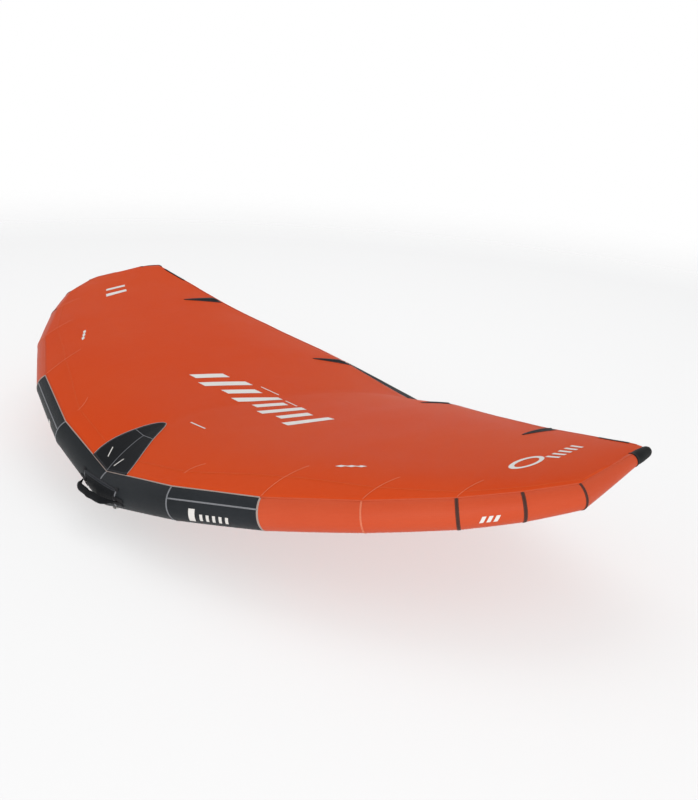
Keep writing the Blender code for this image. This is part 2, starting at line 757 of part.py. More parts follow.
def strut_handles():
    for part, places in STRUT_HANDLES.items():
        front, rear = places["junction"]
        height, radius = strut_section((front + rear) / 2)
        floor_height = height - radius - ANCHOR_DROP
        for end, attach, junction in zip(("front", "rear"), places["attach"], places["junction"]):
            strut_anchor(f"strut_handle_{part}_anchor_{end}", attach, junction, floor_height)
        pivot_height = floor_height - ANCHOR_THICKNESS - NECK_GAP - NECK_RADIUS
        middle = Vector((0, (front + rear) / 2, pivot_height))
        spots = (0.0, 0.06, 0.13, 0.22, 0.34, 0.5, 0.66, 0.78, 0.87, 0.94, 1.0)
        path = []
        widths = []
        thicknesses = []
        for spot in spots:
            bow = max(sin(pi * spot), 0.0) ** 0.7
            size = min(bow * 1.15, 1.0) if 0.06 < spot < 0.94 else 0.0
            sag = bow if 0.06 < spot < 0.94 else 0.0
            path.append(Vector((0, (spot - 0.5) * (rear - front), -STRUT_GRIP_SAG * sag)))
            widths.append(NECK_RADIUS + size * (STRUT_GRIP_HALF_WIDTH - NECK_RADIUS))
            thicknesses.append(NECK_RADIUS + size * (STRUT_GRIP_HALF_THICKNESS - NECK_RADIUS))
        frame = Matrix.Translation(middle)
        sweep(f"strut_handle_{part}_grip", path, Vector((1, 0, 0)), widths, thicknesses, "webbing", frame)


def leash_loop():
    """A short webbing loop under the middle of the leading edge, sewn at both ends."""
    xs = [spread * LEASH_LOOP_HALF for spread in (-1.0, -0.65, -0.40, 0.40, 0.65, 1.0)]
    drops = (0.0, 0.0, 1.0, 1.0, 0.0, 0.0)
    upper = []
    lower = []
    wide = Vector((0, LEASH_LOOP_HALF_WIDTH, 0))
    for x, drop in zip(xs, drops):
        middle, radius = middle_tube(x)
        depth = radius / station(1).normalized().xy.length
        top = Vector((x, middle.y, middle.z - depth - 2 * GAP - drop * LEASH_LOOP_DROP))
        low = top - Vector((0, 0, WEBBING))
        upper.append([top - wide, top + wide])
        lower.append([low - wide, low + wide])
    slab("leash_loop", upper, lower, "light")


# Valves

def skin_frame(point, along, out):
    """A frame on a tube's surface with X along the tube and Z outwards."""
    along = along.normalized()
    out = (out - along * out.dot(along)).normalized()
    across = out.cross(along)
    rotation = Matrix((along, across, out)).transposed()
    return Matrix.Translation(point) @ rotation.to_4x4()


def turned(profile, centre=Vector()):
    """Rings of a profile of radius and height turned about Z."""
    rings = []
    for radius, height in profile:
        ring = []
        for step in range(VALVE_SEGMENTS):
            angle = 2 * pi * step / VALVE_SEGMENTS
            ring.append(centre + Vector((radius * cos(angle), radius * sin(angle), height)))
        rings.append(ring)
    return rings


def valve(prefix, frame, fabrics):
    """Inflation valve: a flanged body through the fabric and the bladder, a hinged cap and a flap."""
    base = 2 * GAP
    flange_top = base + VALVE_FLANGE_THICKNESS
    profile = (
        (VALVE_BORE_RADIUS, -VALVE_DEPTH),
        (VALVE_NECK_RADIUS, -VALVE_DEPTH),
        (VALVE_NECK_RADIUS, base),
        (VALVE_FLANGE_RADIUS, base),
        (VALVE_FLANGE_RADIUS, flange_top),
        (VALVE_BORE_RADIUS, flange_top),
    )
    loft(f"{prefix}_valve_body", turned(profile), "valve", loop=True, frame=frame)
    hole_radius = VALVE_NECK_RADIUS + 2 * GAP
    reach = 0.012
    hole = turned(((hole_radius, -reach), (hole_radius, reach)))
    cutter = loft(f"{prefix}_valve_hole", hole, "valve", frame=frame)
    for fabric in fabrics:
        cut(fabric, cutter)
    half = VALVE_CAP_THICKNESS / 2
    cap_centre = Vector((VALVE_CAP_RADIUS, 0, 0))
    hinge = Vector((-VALVE_CAP_RADIUS, 0, flange_top + VALVE_CAP_GAP + half))
    cap_rings = turned(((VALVE_CAP_RADIUS, -half), (VALVE_CAP_RADIUS, half)), cap_centre)
    loft(f"{prefix}_valve_cap", cap_rings, "valve", frame=frame @ Matrix.Translation(hinge))
    flap_centre = Vector((VALVE_FLAP_RADIUS, 0, 0))
    flap_hinge = Vector((-VALVE_FLAP_RADIUS, 0, -VALVE_DEPTH - GAP))
    flap_rings = turned(((VALVE_FLAP_RADIUS, -VALVE_FLAP_THICKNESS), (VALVE_FLAP_RADIUS, 0.0)), flap_centre)
    loft(f"{prefix}_valve_flap", flap_rings, "valve", frame=frame @ Matrix.Translation(flap_hinge))


def bladder(name, outer_rings, inner_rings):
    """A closed film bag, hollow inside."""
    made = loft(name, outer_rings, "bladder", split=True)
    void = loft(f"{name}_void", inner_rings, "bladder", split=True)
    cut(made, void)
    return made


def leading_edge_bladder():
    ends = LAST - 0.06
    places = [-ends] + list(range(-LAST + 1, LAST)) + [ends]
    inset = 0.02
    inner_places = [-ends + inset] + list(range(-LAST + 1, LAST)) + [ends - inset]
    lift = -TUBE_WALL - GAP
    outer = [tube_ring(place, lift, 2) for place in places]
    inner = [tube_ring(place, lift - BLADDER_WALL, 2) for place in inner_places]
    return bladder("leading_edge_bladder", outer, inner)


def strut_bladder():
    ys = [0.120] + [share * STRUT_LENGTH for share in STRUT_Y_SHARES[1:4]]
    lift = -TUBE_WALL - GAP
    inset = 0.002
    inner_ys = [ys[0] + inset] + ys[1:3] + [ys[3] - inset]
    outer = [strut_ring(y, lift, 2) for y in ys]
    inner = [strut_ring(y, lift - BLADDER_WALL, 2) for y in inner_ys]
    return bladder("strut_bladder", outer, inner)


def valves():
    place = LEADING_EDGE_VALVE_X / station(1).x
    spot = tube_point(place, LEADING_EDGE_VALVE_PLACE)
    along = tube_point(place - 0.1, LEADING_EDGE_VALVE_PLACE) - spot
    across = tube_point(place, LEADING_EDGE_VALVE_PLACE + 0.4) - spot
    out = along.cross(across)
    middle = mirrored(station(1) * abs(place))
    out = out if out.dot(spot - middle) > 0 else -out
    fabrics = (bpy.data.objects["leading_edge_center_left"], bpy.data.objects["leading_edge_bladder"])
    valve("leading_edge", skin_frame(spot, along, out), fabrics)
    spot = strut_point(STRUT_VALVE_Y, STRUT_VALVE_PLACE)
    height, radius = strut_section(STRUT_VALVE_Y)
    along = strut_point(STRUT_VALVE_Y + 0.1, STRUT_VALVE_PLACE) - spot
    fabrics = (bpy.data.objects["strut_front"], bpy.data.objects["strut_bladder"])
    valve("strut", skin_frame(spot, along, spot - Vector((0, spot.y, height))), fabrics)


leading_edge_panels()
seam_bands()
tip_caps()
leading_edge_bladder()
strut_panels()
strut_bladder()
canopy_panels()
hems()
battens()
centre_patch()
web()
trailing_edge_block()
front_pad()
front_ears()
front_grip()
strut_handles()
leash_loop()
valves()
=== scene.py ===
"""The looks of an inflatable wing for wing foiling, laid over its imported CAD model.

Metres, +Z up, front at -Y, span along X. Points are worked out from the middle of the leading edge
tube, as in the CAD source, and moved to the rider's hold when a piece is made.
"""

from math import ceil, cos, exp, floor, pi, radians, sin, sqrt

import bpy
from mathutils import Matrix, Vector, noise


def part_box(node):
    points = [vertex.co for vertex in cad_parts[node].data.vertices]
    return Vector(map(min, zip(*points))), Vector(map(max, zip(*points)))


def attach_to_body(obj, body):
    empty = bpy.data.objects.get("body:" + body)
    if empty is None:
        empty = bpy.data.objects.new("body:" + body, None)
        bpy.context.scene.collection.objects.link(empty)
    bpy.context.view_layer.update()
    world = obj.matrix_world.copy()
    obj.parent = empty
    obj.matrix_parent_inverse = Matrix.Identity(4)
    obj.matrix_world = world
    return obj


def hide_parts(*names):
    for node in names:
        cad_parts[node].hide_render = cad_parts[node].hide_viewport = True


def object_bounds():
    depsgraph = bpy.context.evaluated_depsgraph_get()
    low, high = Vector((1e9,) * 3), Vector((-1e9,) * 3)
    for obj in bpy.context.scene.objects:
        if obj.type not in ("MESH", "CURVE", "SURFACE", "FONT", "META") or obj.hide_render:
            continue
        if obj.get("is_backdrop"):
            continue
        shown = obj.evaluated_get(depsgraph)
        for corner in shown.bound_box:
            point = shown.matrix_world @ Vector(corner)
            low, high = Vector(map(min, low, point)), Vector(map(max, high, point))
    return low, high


# Driving dimensions, the same as the CAD's
HALF_SPAN = 1.722
SWEEP = 1.165
RISE = 0.410
TUBE_RADIUS = 0.086
CHORD = 1.870
CAMBER = 0.190
STRUT_OVERHANG = 0.043
STRUT_LENGTH = CHORD + STRUT_OVERHANG
STRUT_RADIUS = 0.0702
PLACES = 20
STATION_X_SHARES = (0.0, 0.248, 0.480, 0.679, 0.829, 0.919, 0.981, 0.984)
STATION_Y_SHARES = (0.0, 0.036, 0.136, 0.290, 0.467, 0.606, 0.762, 1.034)
STATION_Z_SHARES = (0.0, 0.210, 0.407, 0.588, 0.722, 0.822, 0.893, 1.045)
STATION_RADIUS_SHARES = (1.0, 0.935, 0.876, 0.819, 0.783, 0.728, 0.634, 0.314)
TRAILING_X_SHARES = (0.0, 0.222, 0.463, 0.668, 0.805, 0.888, 0.943, 0.971)
TRAILING_Y_SHARES = (1.0, 0.891, 0.812, 0.751, 0.724, 0.708, 0.699, 0.695)
TRAILING_Z_SHARES = (-0.010, 0.361, 0.605, 0.815, 0.956, 1.041, 1.095, 1.112)
CAMBER_SHARES = (1.0, 0.647, 0.500, 0.316, 0.174, 0.105, 0.063, 0.0)
LAST = len(STATION_X_SHARES) - 1
SEAM_PLACES = (6.5, 6.5, 6.5, 6.4, 6.2, 6.0, 5.7, 5.2)
SEAM_LIFT = 0.0022
CREST_SHARE = 0.33
NOSE_POWER = 3.2
TAIL_POWER = 2.6
HEM_MIDDLE_WIDTH = 0.110
HEM_END_WIDTH = 0.010
TIP_REACH = Vector((-0.009, 0.094, 0.004))
TIP_RADIUS = 0.020
STRUT_Y_SHARES = (0.0, 0.219, 0.656, 0.867, 1.0)
STRUT_DROPS = (0.0, 0.011, 0.024, 0.050, 0.051)
STRUT_RADIUS_SHARES = (1.0, 1.0, 0.974, 0.615, 0.385)
FRONT_HANDLE_REACH = 0.0550
FRONT_HANDLE_PIVOT = Vector((0.0, -0.0761, 0.0))
FRONT_HANDLE_HALF = 0.138
PAD_TOP = 0.052
PAD_BOTTOM = -0.040
PAD_TOP_HALF = 0.130
PAD_BOTTOM_HALF = 0.100
EAR_INNER = 0.118
EAR_OUTER = 0.168
STRUT_HANDLES = {
    "front": {"attach": (0.275, 0.665), "junction": (0.364, 0.574)},
    "rear": {"attach": (0.915, 1.360), "junction": (1.020, 1.260)},
}
ANCHOR_DROP = 0.022
ANCHOR_HALF_WIDTH = 0.014
STRUT_GRIP_SAG = 0.022
VALVE_DEPTH = 0.022
LEADING_EDGE_VALVE_X = -0.220
LEADING_EDGE_VALVE_PLACE = -0.5
STRUT_VALVE_Y = 0.200
STRUT_VALVE_PLACE = 10.5
POCKET_STATIONS = {"inner": 1, "outer": 3}
POCKET_SHIFTS = {"inner": 0.0, "outer": 0.040}
POCKET_LENGTH = 0.240
PATCH_HALF_WIDTH = 0.136
PATCH_REACH = 0.152
WEB_FRONT = 0.100
WEB_OPENING_FRONT = CHORD - 0.450
WEB_OPENING_REAR = CHORD - 0.270
WEB_OPENING_HEIGHT = 0.050
WEB_REAR = CHORD - 0.090
RIDER_HOLD = Vector((0.0, 0.794, -0.0860))

SIDES = (("left", -1), ("right", 1))

# Finish colours, linear
CANOPY_ORANGE = (0.600, 0.060, 0.010)
TUBE_ORANGE = (0.550, 0.072, 0.024)
SEAM_ORANGE = (0.620, 0.110, 0.046)
PANEL_BLACK = (0.0100, 0.0125, 0.0148)
PATCH_BLACK = (0.0048, 0.0056, 0.0070)
FADED_BLACK = (0.03, 0.033, 0.04)
PAD_BAND_GREY = (0.014, 0.017, 0.021)
TIP_CAP_BLACK = (0.004, 0.005, 0.006)
BAND_MAROON = (0.060, 0.027, 0.022)
SEAM_GREY = (0.17, 0.18, 0.20)
PIPING_PALE = (0.36, 0.27, 0.23)
WEBBING_BLACK = (0.010, 0.010, 0.012)
WEBBING_LIGHT = (0.550, 0.560, 0.550)
PRINT_WHITE = (0.760, 0.740, 0.710)
THREAD_GREY = (0.300, 0.300, 0.310)
THREAD_DARK = (0.10, 0.10, 0.11)
THREAD_SALMON = (0.800, 0.330, 0.200)
PLASTIC_GREY = (0.060, 0.060, 0.066)
BATTEN_WHITE = (0.600, 0.600, 0.560)
FILM_CLEAR = (0.620, 0.640, 0.620)

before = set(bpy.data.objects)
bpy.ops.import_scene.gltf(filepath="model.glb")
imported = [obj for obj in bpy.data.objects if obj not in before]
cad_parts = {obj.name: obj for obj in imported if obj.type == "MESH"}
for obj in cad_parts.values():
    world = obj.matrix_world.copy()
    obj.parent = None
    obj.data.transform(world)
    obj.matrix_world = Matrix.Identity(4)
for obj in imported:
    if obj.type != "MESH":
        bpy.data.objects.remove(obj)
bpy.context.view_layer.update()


# Places on the leading edge tube

def between(values, place):
    """The value at a fractional place in a list, in straight runs."""
    low = min(floor(place), len(values) - 2)
    share = place - low
    return values[low] * (1 - share) + values[low + 1] * share


def flowing(values, place):
    """The value at a fractional place in a list, on a smooth curve through its values."""
    low = max(min(floor(place), len(values) - 2), 0)
    share = place - low
    here = values[low]
    there = values[low + 1]
    before = values[low - 1] if low else 2 * here - there
    beyond = values[low + 2] if low + 2 < len(values) else 2 * there - here
    bend = 2 * before - 5 * here + 4 * there - beyond
    twist = 3 * (here - there) + beyond - before
    return 0.5 * (2 * here + (there - before) * share + bend * share * share + twist * share ** 3)


def side_of(along):
    return -1 if along < 0 else 1


def mirrored(point):
    return Vector((-point.x, point.y, point.z))


def station(index):
    return Vector((
        STATION_X_SHARES[index] * HALF_SPAN,
        STATION_Y_SHARES[index] * SWEEP,
        STATION_Z_SHARES[index] * RISE,
    ))


def station_frame(index):
    """The tube's cross-section at a station: along, side, up, inside of the bend, mitre stretch."""
    here = station(index)
    behind = here - station(index - 1) if index else mirrored(-station(1))
    ahead = station(index + 1) - here if index < LAST else behind.copy()
    ahead.normalize()
    behind.normalize()
    along = (ahead + behind).normalized()
    side = Vector((0, 0, 1)).cross(along).normalized()
    stretch = 1 / max(along.dot(ahead), 0.5)
    return along, side, along.cross(side), (ahead - behind).normalized(), stretch


STATION_FRAMES = [station_frame(i) for i in range(LAST + 1)]
PANEL_LENGTHS = [(station(i + 1) - station(i)).length for i in range(LAST)]


def turn_of(place):
    """The angle of a place around a tube."""
    return 2 * pi * place / PLACES


def station_spoke(index, place):
    """The way out from the middle of a station to a place around it."""
    side, up = STATION_FRAMES[index][1:3]
    return side * cos(turn_of(place)) + up * sin(turn_of(place))


def station_ring_point(index, place, lift):
    bend, stretch = STATION_FRAMES[index][3:]
    spoke = station_spoke(index, place)
    spoke += bend * spoke.dot(bend) * (stretch - 1)
    return station(index) + spoke * (STATION_RADIUS_SHARES[index] * TUBE_RADIUS + lift)


def tube_point(along, place, lift=0.0):
    """A point of the round tube: a fractional station, negative on the left, and a place around it."""
    distance = abs(along)
    low = min(floor(distance), LAST - 1)
    first = station_ring_point(low, place, lift)
    point = first.lerp(station_ring_point(low + 1, place, lift), distance - low)
    return mirrored(point) if along < 0 else point


def tube_radius(along):
    return between(STATION_RADIUS_SHARES, min(abs(along), LAST)) * TUBE_RADIUS


def places_round(metres, radius):
    """How many places around a tube a length is."""
    return metres / radius * PLACES / (2 * pi)


def stepped_along(index, distance):
    """A fractional station a distance in metres out (+) or in (-) from a station."""
    length = PANEL_LENGTHS[min(index, LAST - 1)] if distance > 0 else PANEL_LENGTHS[index - 1]
    return index + distance / length


def middle_panel(x):
    """The axis point and the radius of the middle panels at a distance from the centre."""
    out = abs(x) / station(1).x
    return station(1) * out, TUBE_RADIUS * (1 - out + out * STATION_RADIUS_SHARES[1])


def middle_tube_y(x, z, lift, side):
    """Where the round middle panels' wall is at a height: side is -1 at the front and 1 at the back."""
    middle, radius = middle_panel(x)
    along = station(1).normalized()
    height = z - middle.z
    square = 1 - along.y ** 2
    half_linear = -along.y * along.z * height
    constant = (1 - along.z ** 2) * height ** 2 - (radius + lift) ** 2
    return middle.y + (side * sqrt(half_linear ** 2 - square * constant) - half_linear) / square


def tube_front(x, z, lift):
    return Vector((x, middle_tube_y(x, z, lift, -1), z))


# Places on the strut

STRUT_SEAMS = [share * STRUT_LENGTH for share in STRUT_Y_SHARES]


def strut_section(y):
    """The strut's axis height and radius at a distance behind the leading edge's middle."""
    low = max(i for i in range(len(STRUT_SEAMS) - 1) if STRUT_SEAMS[i] <= y or i == 0)
    place = low + (y - STRUT_SEAMS[low]) / (STRUT_SEAMS[low + 1] - STRUT_SEAMS[low])
    return -between(STRUT_DROPS, place), between(STRUT_RADIUS_SHARES, place) * STRUT_RADIUS


def strut_point(y, place, lift=0.0):
    height, radius = strut_section(y)
    angle = turn_of(place)
    spoke = radius + lift
    return Vector((cos(angle) * spoke, y, height + sin(angle) * spoke))


# Places on the canopy

RIPPLE_HEIGHT = 0.0026


def seam_point(along):
    distance = min(abs(along), LAST)
    return tube_point(side_of(along) * distance, between(SEAM_PLACES, distance), SEAM_LIFT)


def trailing_point(along):
    distance = min(abs(along), LAST)
    point = Vector((
        flowing(TRAILING_X_SHARES, distance) * HALF_SPAN,
        flowing(TRAILING_Y_SHARES, distance) * CHORD,
        flowing(TRAILING_Z_SHARES, distance) * RISE,
    ))
    return mirrored(point) if along < 0 else point


def camber_share(chord_share):
    """Height above the chord line, 1 at the crest."""
    if chord_share < CREST_SHARE:
        return 1 - (1 - chord_share / CREST_SHARE) ** NOSE_POWER
    return 1 - ((chord_share - CREST_SHARE) / (1 - CREST_SHARE)) ** TAIL_POWER


def canopy_middle(along, chord_share):
    point = seam_point(along).lerp(trailing_point(along), chord_share)
    point.z += flowing(CAMBER_SHARES, min(abs(along), LAST)) * CAMBER * camber_share(chord_share)
    return point


def canopy_over_strut(y):
    """The canopy's middle line at a distance behind the leading edge's middle."""
    front = seam_point(0).y
    return canopy_middle(0, (y - front) / (trailing_point(0).y - front))


def canopy_upward(along, chord_share):
    """The way out of the canopy's upper face at a place on it."""
    step = 0.01
    sign = side_of(along)
    low = max(abs(along) - step, 0.0)
    high = min(abs(along) + step, float(LAST))
    outward = canopy_middle(sign * high, chord_share) - canopy_middle(sign * low, chord_share)
    near = max(chord_share - step, 0.0)
    far = min(chord_share + step, 1.0)
    rearward = canopy_middle(along, far) - canopy_middle(along, near)
    if abs(along) < step:
        return Vector((0.0, -rearward.z, rearward.y)).normalized()
    return outward.cross(rearward).normalized() * sign


def canopy_ripple(along, chord_share):
    """Slack waves of the stretched cloth, flat at its front seam and along the middle."""
    place = canopy_middle(along, chord_share)
    wave = noise.noise(Vector((place.x * 3.2, place.y * 1.4, 1.7)))
    wave += 0.5 * noise.noise(Vector((place.x * 8.5, place.y * 2.6, 5.1)))
    return RIPPLE_HEIGHT * wave * min(chord_share * 6, 1.0) * min(abs(along), 1.0)


def canopy_point(along, chord_share, lift=0.0):
    upward = canopy_upward(along, chord_share)
    return canopy_middle(along, chord_share) + upward * (lift + canopy_ripple(along, chord_share))


def chord_length(along):
    return (trailing_point(along) - seam_point(along)).length


def canopy_end_share(along):
    """Where the canopy stops for the hem, which is widest in the middle."""
    distance = abs(along)
    if distance > 1:
        end_width = HEM_END_WIDTH * max(2 - distance, 0.0)
    else:
        end_width = HEM_MIDDLE_WIDTH * (1 - distance) + HEM_END_WIDTH * distance
    return 1 - end_width / chord_length(along)


def canopy_spot(along, chord_share, out, back, lift):
    """A canopy point some metres out and back from a place on it."""
    outward = side_of(along) * 0.2
    span = (canopy_middle(along + outward, chord_share) - canopy_middle(along, chord_share)).length / 0.2
    share = chord_share + back / chord_length(along)
    return canopy_point(along + side_of(along) * out / span, share, lift)


# Making pieces

def shares(steps):
    """Even shares from 0 to 1."""
    return [step / steps for step in range(steps + 1)]


def sheet_rows(down, across, point):
    """Rows of points over a piece, from a function of the shares down and across it."""
    return [[point(way, out) for out in shares(across)] for way in shares(down)]


def ring_rows(spots, around, point):
    """Rings of points round a piece, from a function of a spot in the list and a place around."""
    return [[point(spot, step * PLACES / around) for step in range(around)] for spot in spots]


def ridden(name, mesh, look, body, nodes):
    """Links a finished mesh as a piece that rides on a body and stands for CAD nodes."""
    slot, material = LOOKS[look]
    made = bpy.data.objects.new(name, mesh)
    bpy.context.scene.collection.objects.link(made)
    mesh.materials.append(material)
    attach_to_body(made, body)
    if nodes:
        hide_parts(*nodes)
    return made


def cloth(name, rows, look, wrap=False, thickness=0.0006, body="wing", nodes=(), crease=40, flip=False):
    """A piece of cloth through rows of points, with its weave laid out over it in metres.

    The corner attribute "weave" holds metres across and along, and "edge" the way in from its edge.
    Flipped rows run backward, so that the same face stays outside on the other side of the wing.
    """
    points = [[point - RIDER_HOLD for point in (reversed(row) if flip else row)] for row in rows]
    width = len(points[0])
    columns = width if wrap else width - 1
    across = []
    for row in points:
        line = [0.0]
        for j in range(columns):
            line.append(line[-1] + (row[(j + 1) % width] - row[j]).length)
        across.append(line)
    down = [[0.0] * width]
    for before, row in zip(points, points[1:]):
        down.append([so_far + (point - near).length for so_far, near, point in zip(down[-1], before, row)])
    faces = []
    laid = []
    ways_in = []
    for i in range(len(points) - 1):
        for j in range(columns):
            corners = ((i, j), (i, j + 1), (i + 1, j + 1), (i + 1, j))
            faces.append([row * width + column % width for row, column in corners])
            for row, column in corners:
                u = across[row][column]
                v = down[row][column % width]
                laid += [u, v, 0.0]
                way_in = min(v, down[-1][column % width] - v)
                ways_in.append(way_in if wrap else min(way_in, u, across[row][-1] - u))
    mesh = bpy.data.meshes.new(name)
    mesh.from_pydata([point for row in points for point in row], [], faces)
    mesh.attributes.new("weave", "FLOAT_VECTOR", "CORNER").data.foreach_set("vector", laid)
    mesh.attributes.new("edge", "FLOAT", "CORNER").data.foreach_set("value", ways_in)
    mesh.shade_smooth()
    mesh.set_sharp_from_angle(angle=radians(crease))
    made = ridden(name, mesh, look, body, nodes)
    if thickness:
        skin = made.modifiers.new("thickness", "SOLIDIFY")
        skin.thickness = thickness
        skin.offset = 1.0
        skin.use_even_offset = False
    return made


def turned_piece(name, profile, place, node, body=None, segments=48):
    """A plastic piece turned about its place's Z, on its own body if none is named."""
    angles = [2 * pi * step / segments for step in range(segments)]
    points = []
    for radius, height in profile:
        for angle in angles:
            points.append(place @ Vector((radius * cos(angle), radius * sin(angle), height)) - RIDER_HOLD)
    hollow = profile[0][0] > 0
    faces = []
    for i in range(len(profile) if hollow else len(profile) - 1):
        low = i * segments
        high = (i + 1) % len(profile) * segments
        for step in range(segments):
            other = (step + 1) % segments
            faces.append((low + step, low + other, high + other, high + step))
    mesh = bpy.data.meshes.new(name)
    mesh.from_pydata(points, [], faces)
    mesh.validate()
    mesh.shade_smooth()
    mesh.set_sharp_from_angle(angle=radians(35))
    ridden(name, mesh, "valve", body or node, [node])


# Materials

def wire(tree, target, value):
    """Feeds a socket from another one, or sets its own value."""
    if isinstance(value, bpy.types.NodeSocket):
        tree.links.new(value, target)
    else:
        target.default_value = value


def calc(tree, operation, *values, clamp=False):
    node = tree.nodes.new("ShaderNodeMath")
    node.operation = operation
    node.use_clamp = clamp
    for target, value in zip(node.inputs, values):
        wire(tree, target, value)
    return node.outputs[0]


def added(tree, kind, settings=(), **inputs):
    """The outputs of a new node, with its settings and with values or sockets for its inputs."""
    node = tree.nodes.new(kind)
    for setting, value in settings:
        setattr(node, setting, value)
    for title, value in inputs.items():
        wire(tree, node.inputs[title.replace("_", " ")], value)
    return node.outputs


def mixed(tree, share, first, second):
    kind = "ShaderNodeMix"
    return added(tree, kind, [("data_type", "RGBA")], Factor=share, A=first, B=second)["Result"]


def cloudy(tree, scale, detail, roughness, **places):
    """Noise from 0 to 1."""
    kind = "ShaderNodeTexNoise"
    return added(tree, kind, Scale=scale, Detail=detail, Roughness=roughness, **places)["Fac"]


def stepped(tree, value, low, high):
    """0 below low and 1 above high, smooth between."""
    smooth = [("interpolation_type", "SMOOTHSTEP")]
    return added(tree, "ShaderNodeMapRange", smooth, Value=value, From_Min=low, From_Max=high)["Result"]


def off_middle(tree, value, middle=0.5):
    """How far a value is from a middle one."""
    return calc(tree, "ABSOLUTE", calc(tree, "SUBTRACT", value, middle))


def object_place(tree):
    return added(tree, "ShaderNodeTexCoord")["Object"]


def attribute(tree, name):
    return added(tree, "ShaderNodeAttribute", [("attribute_name", name)])


def weave_uv(tree):
    """Metres across and along the cloth."""
    parts = added(tree, "ShaderNodeSeparateXYZ", Vector=attribute(tree, "weave")["Vector"])
    return parts[0], parts[1]


def diagonal_waves(tree, pitch):
    """Waves along the two diagonals of the weave."""
    u, v = weave_uv(tree)
    return [
        calc(tree, "SINE", calc(tree, "MULTIPLY", calc(tree, way, u, v), 2 * pi / pitch))
        for way in ("ADD", "SUBTRACT")
    ]


def rgba(colour, shade=1.0):
    return (*(c * shade for c in colour), 1)


COLOUR_SOCKETS = ("Color", "Faded")
RUBBED_EDGE = 0.006
RIPSTOP_LINE = 0.06
CREASE_SIZE = 0.16
CREASE_DEPTH = 0.0012
STITCH = 0.0042
STITCH_THREAD = 0.00055
WEBBING_PITCH = 0.0016
LOZENGE_PITCH = 0.007


def new_group(name, inputs, outputs):
    """An empty shader group with named inputs and outputs."""
    tree = bpy.data.node_groups.new(name, "ShaderNodeTree")
    for way, titles in (("INPUT", inputs), ("OUTPUT", outputs)):
        for title in titles:
            kind = "NodeSocketColor" if title in COLOUR_SOCKETS else "NodeSocketFloat"
            tree.interface.new_socket(title, in_out=way, socket_type=kind)
    return tree, tree.nodes.new("NodeGroupInput").outputs, tree.nodes.new("NodeGroupOutput").inputs


def woven_threads_group():
    """Plain weave with a coarser grid of thick threads, as in ripstop cloth."""
    tree, given, out = new_group("woven_threads", ("Thread", "Grid", "Grid width"), ("Height", "Grid mask"))
    waves = []
    lines = []
    for axis in weave_uv(tree):
        turns = calc(tree, "DIVIDE", axis, given["Thread"])
        waves.append(calc(tree, "SINE", calc(tree, "MULTIPLY", turns, pi)))
        off = off_middle(tree, calc(tree, "FRACT", calc(tree, "DIVIDE", axis, given["Grid"])))
        lines.append(calc(tree, "GREATER_THAN", off, calc(tree, "SUBTRACT", 0.5, given["Grid width"])))
    mask = calc(tree, "MAXIMUM", *lines)
    grid = calc(tree, "MULTIPLY", mask, 0.65)
    wire(tree, out["Height"], calc(tree, "MULTIPLY_ADD", calc(tree, "MULTIPLY", *waves), 0.35, grid))
    wire(tree, out["Grid mask"], mask)
    return tree


def seam_stitches_group():
    """Two rows of stitches that follow a piece's edge."""
    inputs = ("Inset", "Row gap", "Stitch", "Thread")
    tree, given, out = new_group("seam_stitches", inputs, ("Mask", "Height"))
    way_in = attribute(tree, "edge")["Fac"]
    run = calc(tree, "DIVIDE", calc(tree, "ADD", *weave_uv(tree)), given["Stitch"])
    dash = calc(tree, "LESS_THAN", off_middle(tree, calc(tree, "FRACT", run)), 0.36)
    rows = []
    for inset in (given["Inset"], calc(tree, "ADD", given["Inset"], given["Row gap"])):
        share = calc(tree, "DIVIDE", off_middle(tree, way_in, inset), given["Thread"])
        rows.append(calc(tree, "SUBTRACT", 1.0, share, clamp=True))
    row = calc(tree, "MAXIMUM", *rows)
    wire(tree, out["Mask"], calc(tree, "MULTIPLY", calc(tree, "GREATER_THAN", row, 0.0), dash))
    wire(tree, out["Height"], calc(tree, "MULTIPLY", calc(tree, "SQRT", row), dash))
    return tree


def soft_creases_group():
    """Shallow rumples in stretched cloth, long in one direction."""
    tree, given, out = new_group("soft_creases", ("Size", "Amount"), ("Height", "Cloud"))
    place = object_place(tree)
    stretched = added(tree, "ShaderNodeMapping", Vector=place, Scale=(1.0, 0.45, 1.3))["Vector"]
    scale = calc(tree, "DIVIDE", 1.0, given["Size"])
    rumple = cloudy(tree, scale, 3.0, 0.55, Distortion=0.6, Vector=stretched)
    off = calc(tree, "MULTIPLY", off_middle(tree, rumple), 5.0)
    ridge = calc(tree, "SUBTRACT", 1.0, off, clamp=True)
    wire(tree, out["Height"], calc(tree, "MULTIPLY", ridge, given["Amount"]))
    wire(tree, out["Cloud"], cloudy(tree, 3.1, 4.0, 0.6, Vector=place))
    return tree


def faded_cloth_group():
    """Colour that varies with handling, sun and dust, and is rubbed lighter at the edges."""
    tree, given, out = new_group("faded_cloth", ("Color", "Faded", "Fade", "Edge rub"), ("Color",))
    place = object_place(tree)
    broad = cloudy(tree, 1.7, 3.0, 0.5, Vector=place)
    fine = cloudy(tree, 46.0, 5.0, 0.65, Vector=place)
    share = calc(tree, "MULTIPLY", stepped(tree, broad, 0.35, 0.75), given["Fade"])
    share = calc(tree, "MULTIPLY_ADD", calc(tree, "SUBTRACT", fine, 0.5), given["Fade"], share)
    edge = calc(tree, "SUBTRACT", 1.0, stepped(tree, attribute(tree, "edge")["Fac"], 0.0, RUBBED_EDGE))
    rub = calc(tree, "MULTIPLY", edge, calc(tree, "MULTIPLY", fine, given["Edge rub"]))
    share = calc(tree, "ADD", share, rub, clamp=True)
    wire(tree, out["Color"], mixed(tree, share, given["Color"], given["Faded"]))
    return tree


